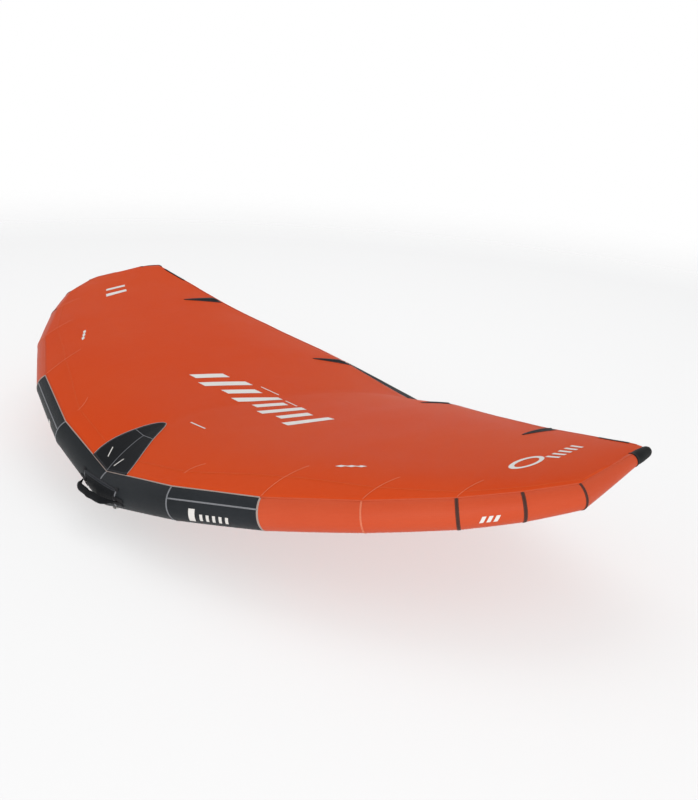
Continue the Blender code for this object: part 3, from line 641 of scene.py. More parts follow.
WOVEN_THREADS = woven_threads_group()
SEAM_STITCHES = seam_stitches_group()
SOFT_CREASES = soft_creases_group()
FADED_CLOTH = faded_cloth_group()


def placed(tree, group, **inputs):
    return added(tree, "ShaderNodeGroup", [("node_tree", group)], **inputs)


def faded(tree, colour, worn, fade, rub):
    return placed(tree, FADED_CLOTH, Color=rgba(colour), Faded=rgba(worn), Fade=fade, Edge_rub=rub)["Color"]


def shader_of(name):
    made = bpy.data.materials.new(name)
    made.use_nodes = True
    return made, made.node_tree, made.node_tree.nodes["Principled BSDF"]


def finish_surface(tree, shader, colour, roughness, gloss, height, depth=1.0):
    """Gives a shader its colour, roughness and gloss, and raises its surface by a height."""
    wire(tree, shader.inputs["Base Color"], colour)
    wire(tree, shader.inputs["Roughness"], roughness)
    wire(tree, shader.inputs["Specular IOR Level"], gloss)
    bumped = added(tree, "ShaderNodeBump", Strength=1.0, Distance=depth, Height=height)
    wire(tree, shader.inputs["Normal"], bumped["Normal"])


def cloth_material(name, colour, worn, thread, crease, roughness, grid=0.005, stitch=None,
                   stitch_colour=THREAD_GREY, gloss=0.12, fade=0.22):
    """Woven cloth: threads, stiffer grid, creases, fading, and stitches along its edges."""
    made, tree, shader = shader_of(name)
    weave = placed(tree, WOVEN_THREADS, Thread=thread, Grid=grid, Grid_width=RIPSTOP_LINE)
    creases = placed(tree, SOFT_CREASES, Size=CREASE_SIZE, Amount=crease)
    shade = calc(tree, "MULTIPLY", weave["Grid mask"], 0.35)
    coloured = mixed(tree, shade, faded(tree, colour, worn, fade, 0.5), rgba(colour, 0.86))
    height = calc(tree, "MULTIPLY", weave["Height"], thread * 0.18)
    height = calc(tree, "MULTIPLY_ADD", creases["Height"], CREASE_DEPTH, height)
    if stitch:
        inset, gap = stitch
        sewn = placed(tree, SEAM_STITCHES, Inset=inset, Row_gap=gap, Stitch=STITCH, Thread=STITCH_THREAD)
        coloured = mixed(tree, sewn["Mask"], coloured, rgba(stitch_colour))
        height = calc(tree, "MULTIPLY_ADD", sewn["Height"], 0.0004, height)
    rough = calc(tree, "MULTIPLY_ADD", creases["Cloud"], 0.16, roughness - 0.08)
    finish_surface(tree, shader, coloured, rough, gloss, height)
    return made


def webbing_material(name, colour, worn):
    """Flat woven strap: close ribs across and rows of thread."""
    made, tree, shader = shader_of(name)
    ribs, cross = diagonal_waves(tree, WEBBING_PITCH)
    sewn = placed(tree, SEAM_STITCHES, Inset=0.0022, Row_gap=0.5, Stitch=0.0036, Thread=0.0005)
    height = calc(tree, "MULTIPLY", calc(tree, "MULTIPLY", ribs, cross), 0.00018)
    height = calc(tree, "MULTIPLY_ADD", sewn["Height"], 0.0003, height)
    shade = calc(tree, "MULTIPLY_ADD", ribs, 0.12, 0.12)
    coloured = mixed(tree, shade, faded(tree, colour, worn, 0.30, 0.8), rgba(colour, 0.6))
    coloured = mixed(tree, sewn["Mask"], coloured, rgba([min(c * 2.4, 0.8) for c in colour]))
    finish_surface(tree, shader, coloured, 0.72, 0.2, height)
    return made


def sleeve_material(name, colour, worn):
    """Neoprene-like grip sleeve with a pressed grid of small lozenges."""
    made, tree, shader = shader_of(name)
    grid = stepped(tree, calc(tree, "MAXIMUM", *diagonal_waves(tree, LOZENGE_PITCH)), 0.75, 0.98)
    coloured = mixed(tree, grid, faded(tree, colour, worn, 0.3, 0.4), rgba(colour, 0.5))
    grain = cloudy(tree, 900.0, 2.0, 0.6)
    height = calc(tree, "MULTIPLY_ADD", grid, -0.0005, calc(tree, "MULTIPLY", grain, 0.0002))
    rough = calc(tree, "MULTIPLY_ADD", grain, 0.2, 0.6)
    finish_surface(tree, shader, coloured, rough, 0.12, height)
    return made


def plastic_material(name, colour, roughness, grain_size, gloss=0.4):
    """Moulded plastic with a fine eroded surface and scuffs."""
    made, tree, shader = shader_of(name)
    place = object_place(tree)
    grain = cloudy(tree, 1.0 / grain_size, 2.0, 0.5, Vector=place)
    scuffs = stepped(tree, cloudy(tree, 70.0, 6.0, 0.75, Vector=place), 0.56, 0.72)
    lighter = rgba([min(c * 1.8 + 0.006, 0.9) for c in colour])
    coloured = mixed(tree, calc(tree, "MULTIPLY", scuffs, 0.3), rgba(colour), lighter)
    rough = calc(tree, "MULTIPLY_ADD", scuffs, 0.2, calc(tree, "MULTIPLY_ADD", grain, 0.08, roughness))
    finish_surface(tree, shader, coloured, rough, gloss, grain, grain_size * 0.25)
    return made


def film_material(name, colour):
    """Thin clear film of the bladders."""
    made, tree, shader = shader_of(name)
    cloud = cloudy(tree, 12.0, 4.0, 0.6, Vector=object_place(tree))
    coloured = mixed(tree, cloud, rgba(colour), rgba(colour, 0.85))
    rough = calc(tree, "MULTIPLY_ADD", cloud, 0.2, 0.15)
    finish_surface(tree, shader, coloured, rough, 0.5, cloud, 0.0008)
    return made


# A row gap so wide that a narrow tape has no second row of stitches on it
ONE_ROW = 0.5

# Every look: the slot that it stands for, and its material
LOOKS = {
    "canopy": ("canopy_fabric", cloth_material(
        "canopy_ripstop", CANOPY_ORANGE, (0.62, 0.10, 0.03), 0.0009, 0.55, 0.50, gloss=0.04)),
    "tube": ("tube_fabric", cloth_material(
        "tube_sailcloth", TUBE_ORANGE, (0.62, 0.12, 0.05), 0.0011, 0.35, 0.44, grid=0.0075)),
    "panel": ("black_fabric", cloth_material(
        "panel_sailcloth_black", PANEL_BLACK, (0.05, 0.055, 0.065), 0.0011, 0.35, 0.46,
        grid=0.0075, gloss=0.14)),
    "patch": ("patch_fabric", cloth_material(
        "patch_cloth_black", PATCH_BLACK, FADED_BLACK, 0.0014, 0.3, 0.58,
        stitch=(0.0035, 0.004), stitch_colour=THREAD_DARK)),
    "hem": ("black_fabric", cloth_material(
        "hem_tape_black", PATCH_BLACK, FADED_BLACK, 0.0012, 0.2, 0.6,
        stitch=(0.003, 0.004), stitch_colour=(0.08, 0.08, 0.09))),
    "band": ("black_fabric", cloth_material(
        "seam_band_maroon", BAND_MAROON, (0.08, 0.03, 0.025), 0.0012, 0.1, 0.55,
        stitch=(0.0025, ONE_ROW), stitch_colour=(0.20, 0.07, 0.05))),
    "seam": ("tube_fabric", cloth_material(
        "seam_tape_orange", SEAM_ORANGE, (0.78, 0.28, 0.16), 0.0010, 0.1, 0.5,
        stitch=(0.0015, ONE_ROW), stitch_colour=THREAD_SALMON)),
    "dark_seam": ("black_fabric", cloth_material(
        "seam_tape_grey", SEAM_GREY, (0.24, 0.24, 0.25), 0.0010, 0.1, 0.5, stitch=(0.0015, ONE_ROW))),
    "band_grey": ("patch_fabric", cloth_material(
        "pad_band_grey", PAD_BAND_GREY, FADED_BLACK, 0.0012, 0.1, 0.55,
        stitch=(0.002, ONE_ROW), stitch_colour=THREAD_DARK)),
    "piping": ("light_webbing", cloth_material(
        "seam_piping_light", PIPING_PALE, (0.46, 0.38, 0.34), 0.0010, 0.1, 0.5, stitch=(0.0012, ONE_ROW))),
    "ink": ("light_webbing", cloth_material(
        "printed_ink_white", PRINT_WHITE, (0.62, 0.60, 0.57), 0.0011, 0.1, 0.42, fade=0.3)),
    "webbing": ("black_webbing", webbing_material("webbing_black", WEBBING_BLACK, (0.04, 0.04, 0.042))),
    "light_webbing": ("light_webbing", webbing_material("webbing_light", WEBBING_LIGHT, (0.40, 0.40, 0.38))),
    "sleeve": ("black_webbing", sleeve_material("grip_sleeve", PATCH_BLACK, (0.018, 0.019, 0.022))),
    "valve": ("valve_plastic", plastic_material("valve_plastic_grey", PLASTIC_GREY, 0.42, 0.0006)),
    "cap": ("patch_fabric", plastic_material("tip_cap_black", TIP_CAP_BLACK, 0.55, 0.0012, gloss=0.15)),
    "batten": ("batten_plastic", plastic_material("batten_glass_fibre", BATTEN_WHITE, 0.35, 0.0008)),
    "film": ("bladder_film", film_material("bladder_film_clear", FILM_CLEAR)),
}


# Tape sections: shares of the half width across, and of the thickness up

RING_TAPE = ((-1.0, 0.0), (-0.8, 1.0), (0.0, 1.0), (0.8, 1.0), (1.0, 0.0))
RUN_TAPE = ((-1.0, 0.0), (-0.75, 1.0), (0.0, 1.0), (0.75, 1.0), (1.0, 0.0))
FLAT_TAPE = ((-1.0, 0.0), (-0.75, 1.0), (0.75, 1.0), (1.0, 0.0))
ROUND_TAPE = ((-1.0, 0.0), (-0.5, 1.0), (0.5, 1.0), (1.0, 0.0))


# Leading edge

PANEL_NAMES = ("center", "inner", "middle", "outer", "bend", "sweep", "tip")
BLACK_PANELS = 2
AROUND = 144
PUCKER_WAVES = 26
PUCKER_HEIGHT = 0.0011
PUCKER_FADE = 0.030
PANEL_FULLNESS = 0.0012
TAPE_RISE = 0.0007
BAND_LIFT = 0.0006
CAD_BANDS = (4, 5)
LOW_SEAM_DROP = 2.1
# Kind, half width, look and lift of the tape over each station's seam
TUBE_TAPES = {
    1: ("ring", 0.0035, "dark_seam", 0.0),
    2: ("ring", 0.0040, "piping", 0.0),
    3: ("ring", 0.0030, "seam", 0.0),
    4: ("band", 0.0065, "band", BAND_LIFT),
    5: ("band", 0.0065, "band", BAND_LIFT),
    6: ("band", 0.0055, "band", BAND_LIFT),
}


def pucker(index, place, distance):
    """Small gathers beside a mitred seam, deepest on the inside of the bend."""
    angle = turn_of(place)
    inside = max(station_spoke(index, place).dot(STATION_FRAMES[index][3]), 0.0)
    gather = noise.noise(Vector((cos(angle) * 2.1, sin(angle) * 2.1, index * 3.7)))
    wave = sin(PUCKER_WAVES * angle + 4 * gather)
    return PUCKER_HEIGHT * (0.30 + 0.70 * inside) * wave * exp(-distance / PUCKER_FADE)


def panel_distances(length):
    """Distances along a panel, close together near both of its seams."""
    near = [0.0, 0.004, 0.010, 0.018, 0.028, 0.042, 0.060]
    near = [distance for distance in near if distance < length / 2 - 0.01]
    middle = ceil((length - 2 * near[-1]) / 0.05)
    gap = (length - 2 * near[-1]) / middle
    spaced = [near[-1] + gap * step for step in range(1, middle)]
    return near + spaced + [length - distance for distance in reversed(near)]


def tube_panel(index, side, sign):
    """One sewn panel of the leading edge, a little fuller between its seams."""
    length = PANEL_LENGTHS[index]
    name = PANEL_NAMES[index]

    def point(distance, place):
        share = distance / length
        lift = PANEL_FULLNESS * sin(pi * share) - 0.0004
        lift += pucker(index, place, distance) + pucker(index + 1, place, length - distance)
        return tube_point(sign * (index + share), place, lift)

    cloth(f"tube_{name}_{side}", ring_rows(panel_distances(length), AROUND, point),
          "panel" if index < BLACK_PANELS else "tube", wrap=True, thickness=0.0005,
          nodes=[f"leading_edge_{name}_{side}"], flip=sign < 0)


def tube_ring_tape(name, sign, index, half_width, look, lift=0.0, nodes=()):
    """A tape around the tube over the seam at a station."""
    def point(spot, place):
        spread, rise = spot
        distance = spread * half_width
        along = sign * stepped_along(index, distance) if index else distance / PANEL_LENGTHS[0]
        return tube_point(along, place, lift + TAPE_RISE * rise)

    rows = ring_rows(RING_TAPE, AROUND, point)
    cloth(name, rows, look, wrap=True, thickness=0.0003, nodes=nodes, flip=sign < 0)


def tube_run(name, sign, ends, steps, section, half_width, drop, lift, look, thickness):
    """A strip along the tube, some places below its seam with the canopy."""
    start, end = ends
    rows = []
    for way in shares(ceil((end - start) * steps)):
        along = start + (end - start) * way
        row = []
        for spread, rise in section:
            turn = drop + places_round(spread * half_width, tube_radius(along))
            row.append(tube_point(sign * along, between(SEAM_PLACES, along) + turn, lift(along, rise)))
        rows.append(row)
    return cloth(name, rows, look, thickness=thickness, flip=sign < 0)


def panel_tape_lift(along, rise):
    return TAPE_RISE * rise + PANEL_FULLNESS * sin(pi * (along - floor(along)))


def leading_edge():
    for side, sign in SIDES:
        for index in range(LAST):
            tube_panel(index, side, sign)
        for index, (kind, half_width, look, lift) in TUBE_TAPES.items():
            nodes = [f"seam_band_{index}_{side}"] if index in CAD_BANDS else []
            tube_ring_tape(f"tube_{kind}_{index}_{side}", sign, index, half_width, look, lift, nodes)
        tube_run(f"tube_low_seam_{side}", sign, (1.0, 2.0), 12, RUN_TAPE, 0.0030, LOW_SEAM_DROP,
                 panel_tape_lift, "dark_seam", 0.0003)
    tube_ring_tape("tube_ring_0", 1, 0, 0.0035, "dark_seam")


TIP_FULLNESS = 0.014
TIP_END_RADIUS = 0.0235
TIP_AROUND = 48
# Shares of the way out and how far over the cloth, for the rim that holds it
TIP_RIM = ((-0.04, 0.0008), (-0.04, 0.0022), (0.03, 0.0024), (0.07, 0.0006))


def tip_ring(share, radius):
    """A ring across the tube's end, from the last station to the middle of the end's dome."""
    along = STATION_FRAMES[LAST][0]
    turned = (along * (1 - share) + TIP_REACH.normalized() * share).normalized()
    across = Vector((0, 0, 1)).cross(turned).normalized()
    rise = turned.cross(across)
    middle = station(LAST) + TIP_REACH * share
    angles = [2 * pi * step / TIP_AROUND for step in range(TIP_AROUND)]
    return [middle + (across * cos(angle) + rise * sin(angle)) * radius for angle in angles]


def tip_caps():
    """Moulded end caps with a shallow rim where they hold the cloth."""
    start = STATION_RADIUS_SHARES[LAST] * TUBE_RADIUS
    rings = [tip_ring(share, start + over) for share, over in TIP_RIM]
    for step in range(1, 9):
        share = 0.07 + 0.93 * step / 9
        bulge = 0.0020 * sin(pi * share)
        rings.append(tip_ring(share, start + (TIP_END_RADIUS - start) * share + bulge))
    for step in range(9):
        turn = 0.5 * pi * step / 8.4
        share = 1 + sin(turn) * (TIP_RADIUS + TIP_FULLNESS) / TIP_REACH.length
        rings.append(tip_ring(share, TIP_END_RADIUS * cos(turn) ** 0.8))
    for side, sign in SIDES:
        made = [[p if sign > 0 else mirrored(p) for p in ring] for ring in rings]
        cloth(f"tip_cap_shell_{side}", made, "cap", wrap=True, thickness=-0.0012,
              nodes=[f"tip_cap_{side}"], flip=sign < 0)


# Strut

STRUT_AROUND = 96
STRUT_FULLNESS = 0.0010
STRUT_GATHERS = 22
STRUT_GATHER_HEIGHT = 0.0006
STRUT_RING_HALF_WIDTH = 0.0045
STRUT_RING_RISE = 0.0006
# Reach back from the strut's mouth, and lift
STRUT_COLLAR = ((0.0, 0.0016), (0.004, 0.0020), (0.010, 0.0012), (0.016, 0.0004))


def mouth_y(place, clearance):
    """Where the strut's skin meets the leading edge."""
    first = strut_point(TUBE_RADIUS, place)
    return middle_tube_y(first.x, first.z, clearance, 1)


def strut_rows(start, end, mouth=False):
    """Rings of the strut's skin with small gathers at both ends."""
    length = end - start

    def point(distance, place):
        share = distance / length
        y = start + distance
        if mouth:
            y = mouth_y(place, 0.0006) * (1 - share) + end * share
        angle = turn_of(place)
        gather = noise.noise(Vector((cos(angle) * 2, sin(angle) * 2, start * 9)))
        wave = sin(STRUT_GATHERS * angle + 5 * gather) * STRUT_GATHER_HEIGHT
        lift = STRUT_FULLNESS * sin(pi * share)
        lift += wave * (exp(-distance / PUCKER_FADE) + exp(-(length - distance) / PUCKER_FADE))
        return strut_point(y, place, lift)

    return ring_rows(panel_distances(length), STRUT_AROUND, point)


def strut():
    height, radius = strut_section(STRUT_LENGTH)
    dome_start = STRUT_LENGTH - radius

    def dome_point(step, place):
        turn = 0.5 * pi * step / 10.4
        angle = turn_of(place)
        width = radius * cos(turn)
        return Vector((cos(angle) * width, dome_start + radius * sin(turn), height + sin(angle) * width))

    def ring_point(spot, place):
        y, rise = spot
        return strut_point(y, place, STRUT_RING_RISE * rise)

    def collar_point(spot, place):
        reach, lift = spot
        return strut_point(mouth_y(place, 0.0010) + reach, place, lift)

    dome = ring_rows(range(1, 11), STRUT_AROUND, dome_point)
    skins = {
        "front": strut_rows(TUBE_RADIUS, STRUT_SEAMS[1], mouth=True),
        "middle": strut_rows(STRUT_SEAMS[1], STRUT_SEAMS[2]),
        "rear": strut_rows(STRUT_SEAMS[2], STRUT_SEAMS[3]),
        "tail": strut_rows(STRUT_SEAMS[3], dome_start) + dome,
    }
    for part, rows in skins.items():
        cloth(f"strut_skin_{part}", rows, "panel", wrap=True, thickness=-0.0005, nodes=[f"strut_{part}"])
    for index in (1, 2, 3):
        spots = [(STRUT_SEAMS[index] + spread * STRUT_RING_HALF_WIDTH, rise) for spread, rise in RING_TAPE]
        cloth(f"strut_ring_{index}", ring_rows(spots, STRUT_AROUND, ring_point), "dark_seam", wrap=True,
              thickness=-0.0003)
    cloth("strut_collar", ring_rows(STRUT_COLLAR, STRUT_AROUND, collar_point), "hem", wrap=True,
          thickness=-0.0004)


FILM_INSET = -0.0030
FILM_AROUND = 32


def bladders():
    """Clear film bags inside the tubes."""
    stations = [-6.9, *range(-6, 7), 6.9]
    rows = ring_rows(stations, FILM_AROUND, lambda along, place: tube_point(along, place, FILM_INSET))
    cloth("leading_edge_film", rows, "film", wrap=True, thickness=0.0, nodes=["leading_edge_bladder"])
    ys = [0.120, *STRUT_SEAMS[1:4]]
    rows = ring_rows(ys, FILM_AROUND, lambda y, place: strut_point(y, place, FILM_INSET))
    cloth("strut_film", rows, "film", wrap=True, thickness=0.0, nodes=["strut_bladder"])


# Canopy

CANOPY_COLUMNS = 168
CANOPY_ROW_STEPS = 56


def canopy_sheet():
    def point(down, across):
        along = LAST * (2 * across - 1)
        return canopy_point(along, (down * 0.55 + 0.45 * down * down) * canopy_end_share(along))

    nodes = [f"canopy_{part}_{side}" for part in ("inner", "outer") for side, _ in SIDES]
    rows = sheet_rows(CANOPY_ROW_STEPS, CANOPY_COLUMNS, point)
    made = cloth("canopy_sheet", rows, "canopy", nodes=nodes, crease=60)
    made.modifiers["thickness"].offset = 0.0
    return made


def surface_tape(name, path, half_width, look, lift=0.0007):
    """A narrow tape on the canopy along a path of places (fractional station, chord share)."""
    points = [canopy_point(along, share, lift) for along, share in path]
    rows = []
    for i, (along, share) in enumerate(path):
        direction = (points[min(i + 1, len(points) - 1)] - points[max(i - 1, 0)]).normalized()
        upward = canopy_upward(along, share)
        across = direction.cross(upward).normalized()
        rows.append([points[i] + across * spread * half_width + upward * 0.0006 * rise
                     for spread, rise in FLAT_TAPE])
    return cloth(name, rows, look, thickness=0.0)


BAND_SEAM_DISTANCES = (0.060, 0.070, 0.105, 0.070, 0.035, 0.030, 0.026, 0.022)
BAND_SEAM_START = 0.30
BAND_SEAM_END = LAST - 0.6
CROSS_SEAM_REACHES = {1: (0.060, 0.125), 2: (0.004, 0.195), 3: (0.004, 0.150), 4: (0.004, 0.120)}
CROSS_SEAM_LEAN = 0.10


def canopy_seams():
    """The seam beside the leading edge and the short seams that cross the band in front of it."""
    made = []
    for side, sign in SIDES:
        path = []
        for way in shares(104):
            along = BAND_SEAM_START + (BAND_SEAM_END - BAND_SEAM_START) * way
            path.append((sign * along, flowing(BAND_SEAM_DISTANCES, along) / chord_length(along)))
        made.append(surface_tape(f"canopy_band_seam_{side}", path, 0.0034, "canopy"))
        for index, (near, far) in CROSS_SEAM_REACHES.items():
            length = chord_length(index)
            path = [
                (sign * (index + CROSS_SEAM_LEAN * way ** 2), (near * (1 - way) + far * way) / length)
                for way in shares(12)
            ]
            made.append(surface_tape(f"canopy_cross_seam_{index}_{side}", path, 0.0012, "seam", lift=0.0010))
    return made


def piping_lift(along, rise):
    return 0.0006 + 0.0018 * rise


def seam_piping():
    """The sewn line where the canopy joins the tube, pale beside the black panels."""
    return [
        tube_run(f"canopy_piping_{part}_{side}", sign, ends, 14, ROUND_TAPE, 0.0028, 0.0,
                 piping_lift, look, 0.0004)
        for side, sign in SIDES
        for part, ends, look in (("pale", (0.0, 2.0), "piping"), ("orange", (2.0, 6.97), "tube"))
    ]


def hem(name, sign, ends, steps, inner, lift, look, thickness=0.0006, nodes=()):
    """A strip along the trailing edge, from the chord share that inner gives back to the edge."""
    start, end = ends

    def point(way, out):
        along = sign * (start + (end - start) * out)
        return canopy_point(along, inner(along) * (1 - way) + way, lift)

    return cloth(name, sheet_rows(*steps, point), look, thickness=thickness, nodes=nodes, flip=sign < 0)


def hem_strips():
    """Black wedge hems of the trailing edge, and the short dark hems near the tips."""
    made = []
    for side, sign in SIDES:
        made.append(hem(f"hem_wedge_{side}", sign, (0.004, 1.0), (6, 24), canopy_end_share, 0.0006, "hem",
                        0.0008, [f"trailing_edge_hem_{side}"]))
        made.append(hem(f"hem_middle_{side}", sign, (1.0, 6.4), (3, 40),
                        lambda along: 1 - 0.006 / chord_length(along), 0.0005, "canopy"))
        made.append(hem(f"hem_tip_{side}", sign, (4.4, 5.8), (3, 40),
                        lambda along: 1 - 0.013 / chord_length(along), 0.0014, "hem"))
    return made


DART_SPREADS = (-1.0, -0.8, -0.5, -0.2, 0.0, 0.2, 0.5, 0.8, 1.0)
DART_END_SHARE = 0.985
DART_LEAN = 0.010
DART_TIP_HALF = 0.003
DART_WIDENING = 0.032
BATTEN_SWELL = 0.0042
BATTEN_SPREADS = (-0.004, 0.0, 0.004)


def batten_darts():
    """Tapered pockets, each with its batten under its raised middle."""
    made = []
    for side, sign in SIDES:
        for part, index in POCKET_STATIONS.items():
            start = 1 - POCKET_LENGTH / chord_length(index)
            rows = []
            strip = []
            for grown in shares(16):
                share = start + (DART_END_SHARE - start) * grown
                lean = POCKET_SHIFTS[part] + DART_LEAN * (1 - grown) ** 2
                half = DART_TIP_HALF + DART_WIDENING * grown ** 0.8
                row = []
                for spread in DART_SPREADS:
                    swell = BATTEN_SWELL * exp(-((spread * half / 0.006) ** 2)) * min(grown * 4, 1.0)
                    rise = 0.0012 if abs(spread) == 1.0 else 0.0018
                    row.append(canopy_spot(sign * index, share, lean + spread * half, 0.0, rise + swell))
                rows.append(row)
                if 0.2 < grown < 0.97:
                    strip.append([canopy_spot(sign * index, share, lean + out, 0.0, 0.0022)
                                  for out in BATTEN_SPREADS])
            made.append(cloth(f"batten_dart_{part}_{side}", rows, "patch", thickness=0.0005,
                              nodes=[f"batten_pocket_{part}_{side}"], flip=sign < 0))
            made.append(cloth(f"batten_strip_{part}_{side}", strip, "batten", thickness=0.0018,
                              nodes=[f"batten_{part}_{side}"], flip=sign < 0))
    return made


PATCH_WIDTHS = (0.99, 0.955, 0.875, 0.765, 0.64, 0.515, 0.40, 0.29, 0.18)
PATCH_STEPS = 36
PATCH_SEAM_REACH = 0.62
PATCH_SEAM_LIFT = 0.0021


def patch_half_width(reach):
    """Half the width of the pointed patch at a share of its length."""
    tip_round = sqrt(max(1 - reach ** 12, 0.0))
    return PATCH_HALF_WIDTH * tip_round * flowing(PATCH_WIDTHS, reach * (len(PATCH_WIDTHS) - 1))


def patch_place(grown, across):
    """The canopy place at a share of the patch's length and of its half width."""
    along = max(patch_half_width(grown), 0.0015) * across / station(1).x
    return along, grown * PATCH_REACH * chord_length(0) / chord_length(along)


def centre_patch():
    """The pointed black patch at the canopy's middle, with pale edging and a middle seam."""
    lengths = [1 - (1 - way) ** 1.5 for way in shares(PATCH_STEPS)]
    rows = [[canopy_point(*patch_place(grown, 2 * out - 1), 0.0012) for out in shares(24)]
            for grown in lengths]
    made = [cloth("canopy_patch", rows, "patch", thickness=0.0008, nodes=["canopy_centre_patch"])]
    for side, sign in SIDES:
        path = [patch_place(0.02 + 0.98 * grown, sign) for grown in lengths]
        made.append(surface_tape(f"patch_edging_{side}", path, 0.0016, "piping", lift=0.0016))
    cross = PATCH_SEAM_REACH * PATCH_REACH
    half = patch_half_width(PATCH_SEAM_REACH) / station(1).x
    seams = {
        "middle": [(0.0001, cross * way) for way in shares(20)],
        "cross": [(half * (2 * way - 1), cross) for way in shares(12)],
    }
    for part, path in seams.items():
        made.append(surface_tape(f"patch_{part}_seam", path, 0.0012, "dark_seam", lift=PATCH_SEAM_LIFT))
    return made


def web_sheet():
    """Fabric between the canopy's middle and the strut, cut away in a low arch near the back."""
    def point(back, up):
        y = WEB_FRONT + (WEB_REAR - WEB_FRONT) * back
        height, radius = strut_section(y)
        low = height + radius + 0.0004
        if WEB_OPENING_FRONT < y < WEB_OPENING_REAR:
            turn = (y - WEB_OPENING_FRONT) / (WEB_OPENING_REAR - WEB_OPENING_FRONT)
            low += WEB_OPENING_HEIGHT * sin(pi * turn) ** 0.6
        sway = 0.0020 * noise.noise(Vector((y * 5, up * 2, 3.3))) * sin(pi * up)
        return Vector((sway, y, low * (1 - up) + canopy_over_strut(y).z * up))

    made = cloth("web_sheet", sheet_rows(112, 12, point), "canopy", nodes=["strut_web"])
    made.modifiers["thickness"].offset = 0.0
    return made


def squared(value, power):
    """A sine or cosine bent toward a squarer outline."""
    return abs(value) ** power * (1 if value > 0 else -1)


# Shares of the tie's half width across, and of its section
TAIL_SECTION = ((-1.0, 0.2), (-0.97, 0.85), (-0.9, 1.0), (0.0, 1.0), (0.9, 1.0), (0.97, 0.85), (1.0, 0.2))


def tail_block():
    """Folded webbing that ties the canopy's rear corner to the strut."""
    low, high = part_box("trailing_edge_block")
    centre = (low + high) / 2 + RIDER_HOLD
    half = (high - low) / 2
    rows = []
    for way in shares(12):
        y = half.y * squared(cos(2 * pi * way), 0.35)
        z = half.z * squared(sin(2 * pi * way), 0.35)
        rows.append([centre + Vector((half.x * spread, y * pull, z * pull)) for spread, pull in TAIL_SECTION])
    cloth("tail_block", rows, "webbing", thickness=0.0, nodes=["trailing_edge_block"])


GUSSET_LENGTH = 0.105


def tail_gusset():
    """Black cloth from the canopy's rear corner down to the strut, around the tie."""
    low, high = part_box("trailing_edge_block")
    half = (high.x - low.x) / 2 + 0.0020
    start = CHORD - GUSSET_LENGTH
    full = low.y + RIDER_HOLD.y
    for side, sign in SIDES:
        rows = []
        for back in shares(14):
            y = start + (CHORD - 0.0005 - start) * back
            x = half * min((y - start) / (full - start), 1.0)
            height, radius = strut_section(y)
            bottom = Vector((sign * x, y, height + sqrt(max(radius ** 2 - x ** 2, 0.0)) + 0.0008))
            top = canopy_over_strut(y) + Vector((sign * x, 0, -0.0010))
            rows.append([bottom.lerp(top, up) for up in shares(6)])
        cloth(f"tail_gusset_{side}", rows, "hem", thickness=0.0005, flip=sign < 0)


# Handles

GRIP_AROUND = 28
GRIP_END = 0.003


def swept_grip(name, path, across, sizes, body, power):
    """An oval grip along a path, given half its width and thickness at each point."""
    rows = [[path[0]] * GRIP_AROUND]
    for i, (point, (width, thickness)) in enumerate(zip(path, sizes)):
        direction = (path[min(i + 1, len(path) - 1)] - path[max(i - 1, 0)]).normalized()
        rise = across.cross(direction)
        row = []
        for step in range(GRIP_AROUND):
            angle = 2 * pi * step / GRIP_AROUND
            wide = squared(cos(angle), power) * width
            row.append(point + across * wide + rise * squared(sin(angle), power) * thickness)
        rows.append(row)
    rows.append([path[-1]] * GRIP_AROUND)
    return cloth(name, rows, "sleeve", wrap=True, thickness=0.0, body=body, nodes=[f"{body}_grip"])


PAD_HEIGHT = PAD_BOTTOM - PAD_TOP
PAD_SWELL = 0.0030
BAND_INSET = 0.006
BAND_HEIGHT = 0.011
BAND_LIFT_OVER_PAD = 0.0046
EAR_LAP = 0.012
TAB_INNER = PAD_TOP_HALF - 0.010
TAB_WIDTH = 0.018
TAB_TOP = PAD_TOP + 0.006
TAB_HEIGHT = 0.016
# Steps out from the pad's edge, and lift
PAD_EDGING = ((-0.0035, 0.0036), (-0.0015, 0.0042), (0.0010, 0.0034), (0.0022, 0.0014))
# Top, bottom and outer end of each prong of a sewn end
EAR_PRONGS = {"upper": (0.0176, 0.0008, EAR_OUTER), "lower": (-0.0048, -0.0216, 0.158)}
# Shares along the front grip from its end to its middle: out, reach and thickness
GRIP_OUT = (1.0, 0.97, 0.93, 0.87, 0.80, 0.70, 0.58, 0.40, 0.20)
GRIP_REACH = (0.0, 0.06, 0.17, 0.33, 0.52, 0.70, 0.83, 0.89, 0.90)
GRIP_SIZE = (0.0, 0.03, 0.08, 0.22, 0.50, 0.82, 1.0, 1.0, 1.0)


def pad_half(down):
    return PAD_TOP_HALF * (1 - down) + PAD_BOTTOM_HALF * down


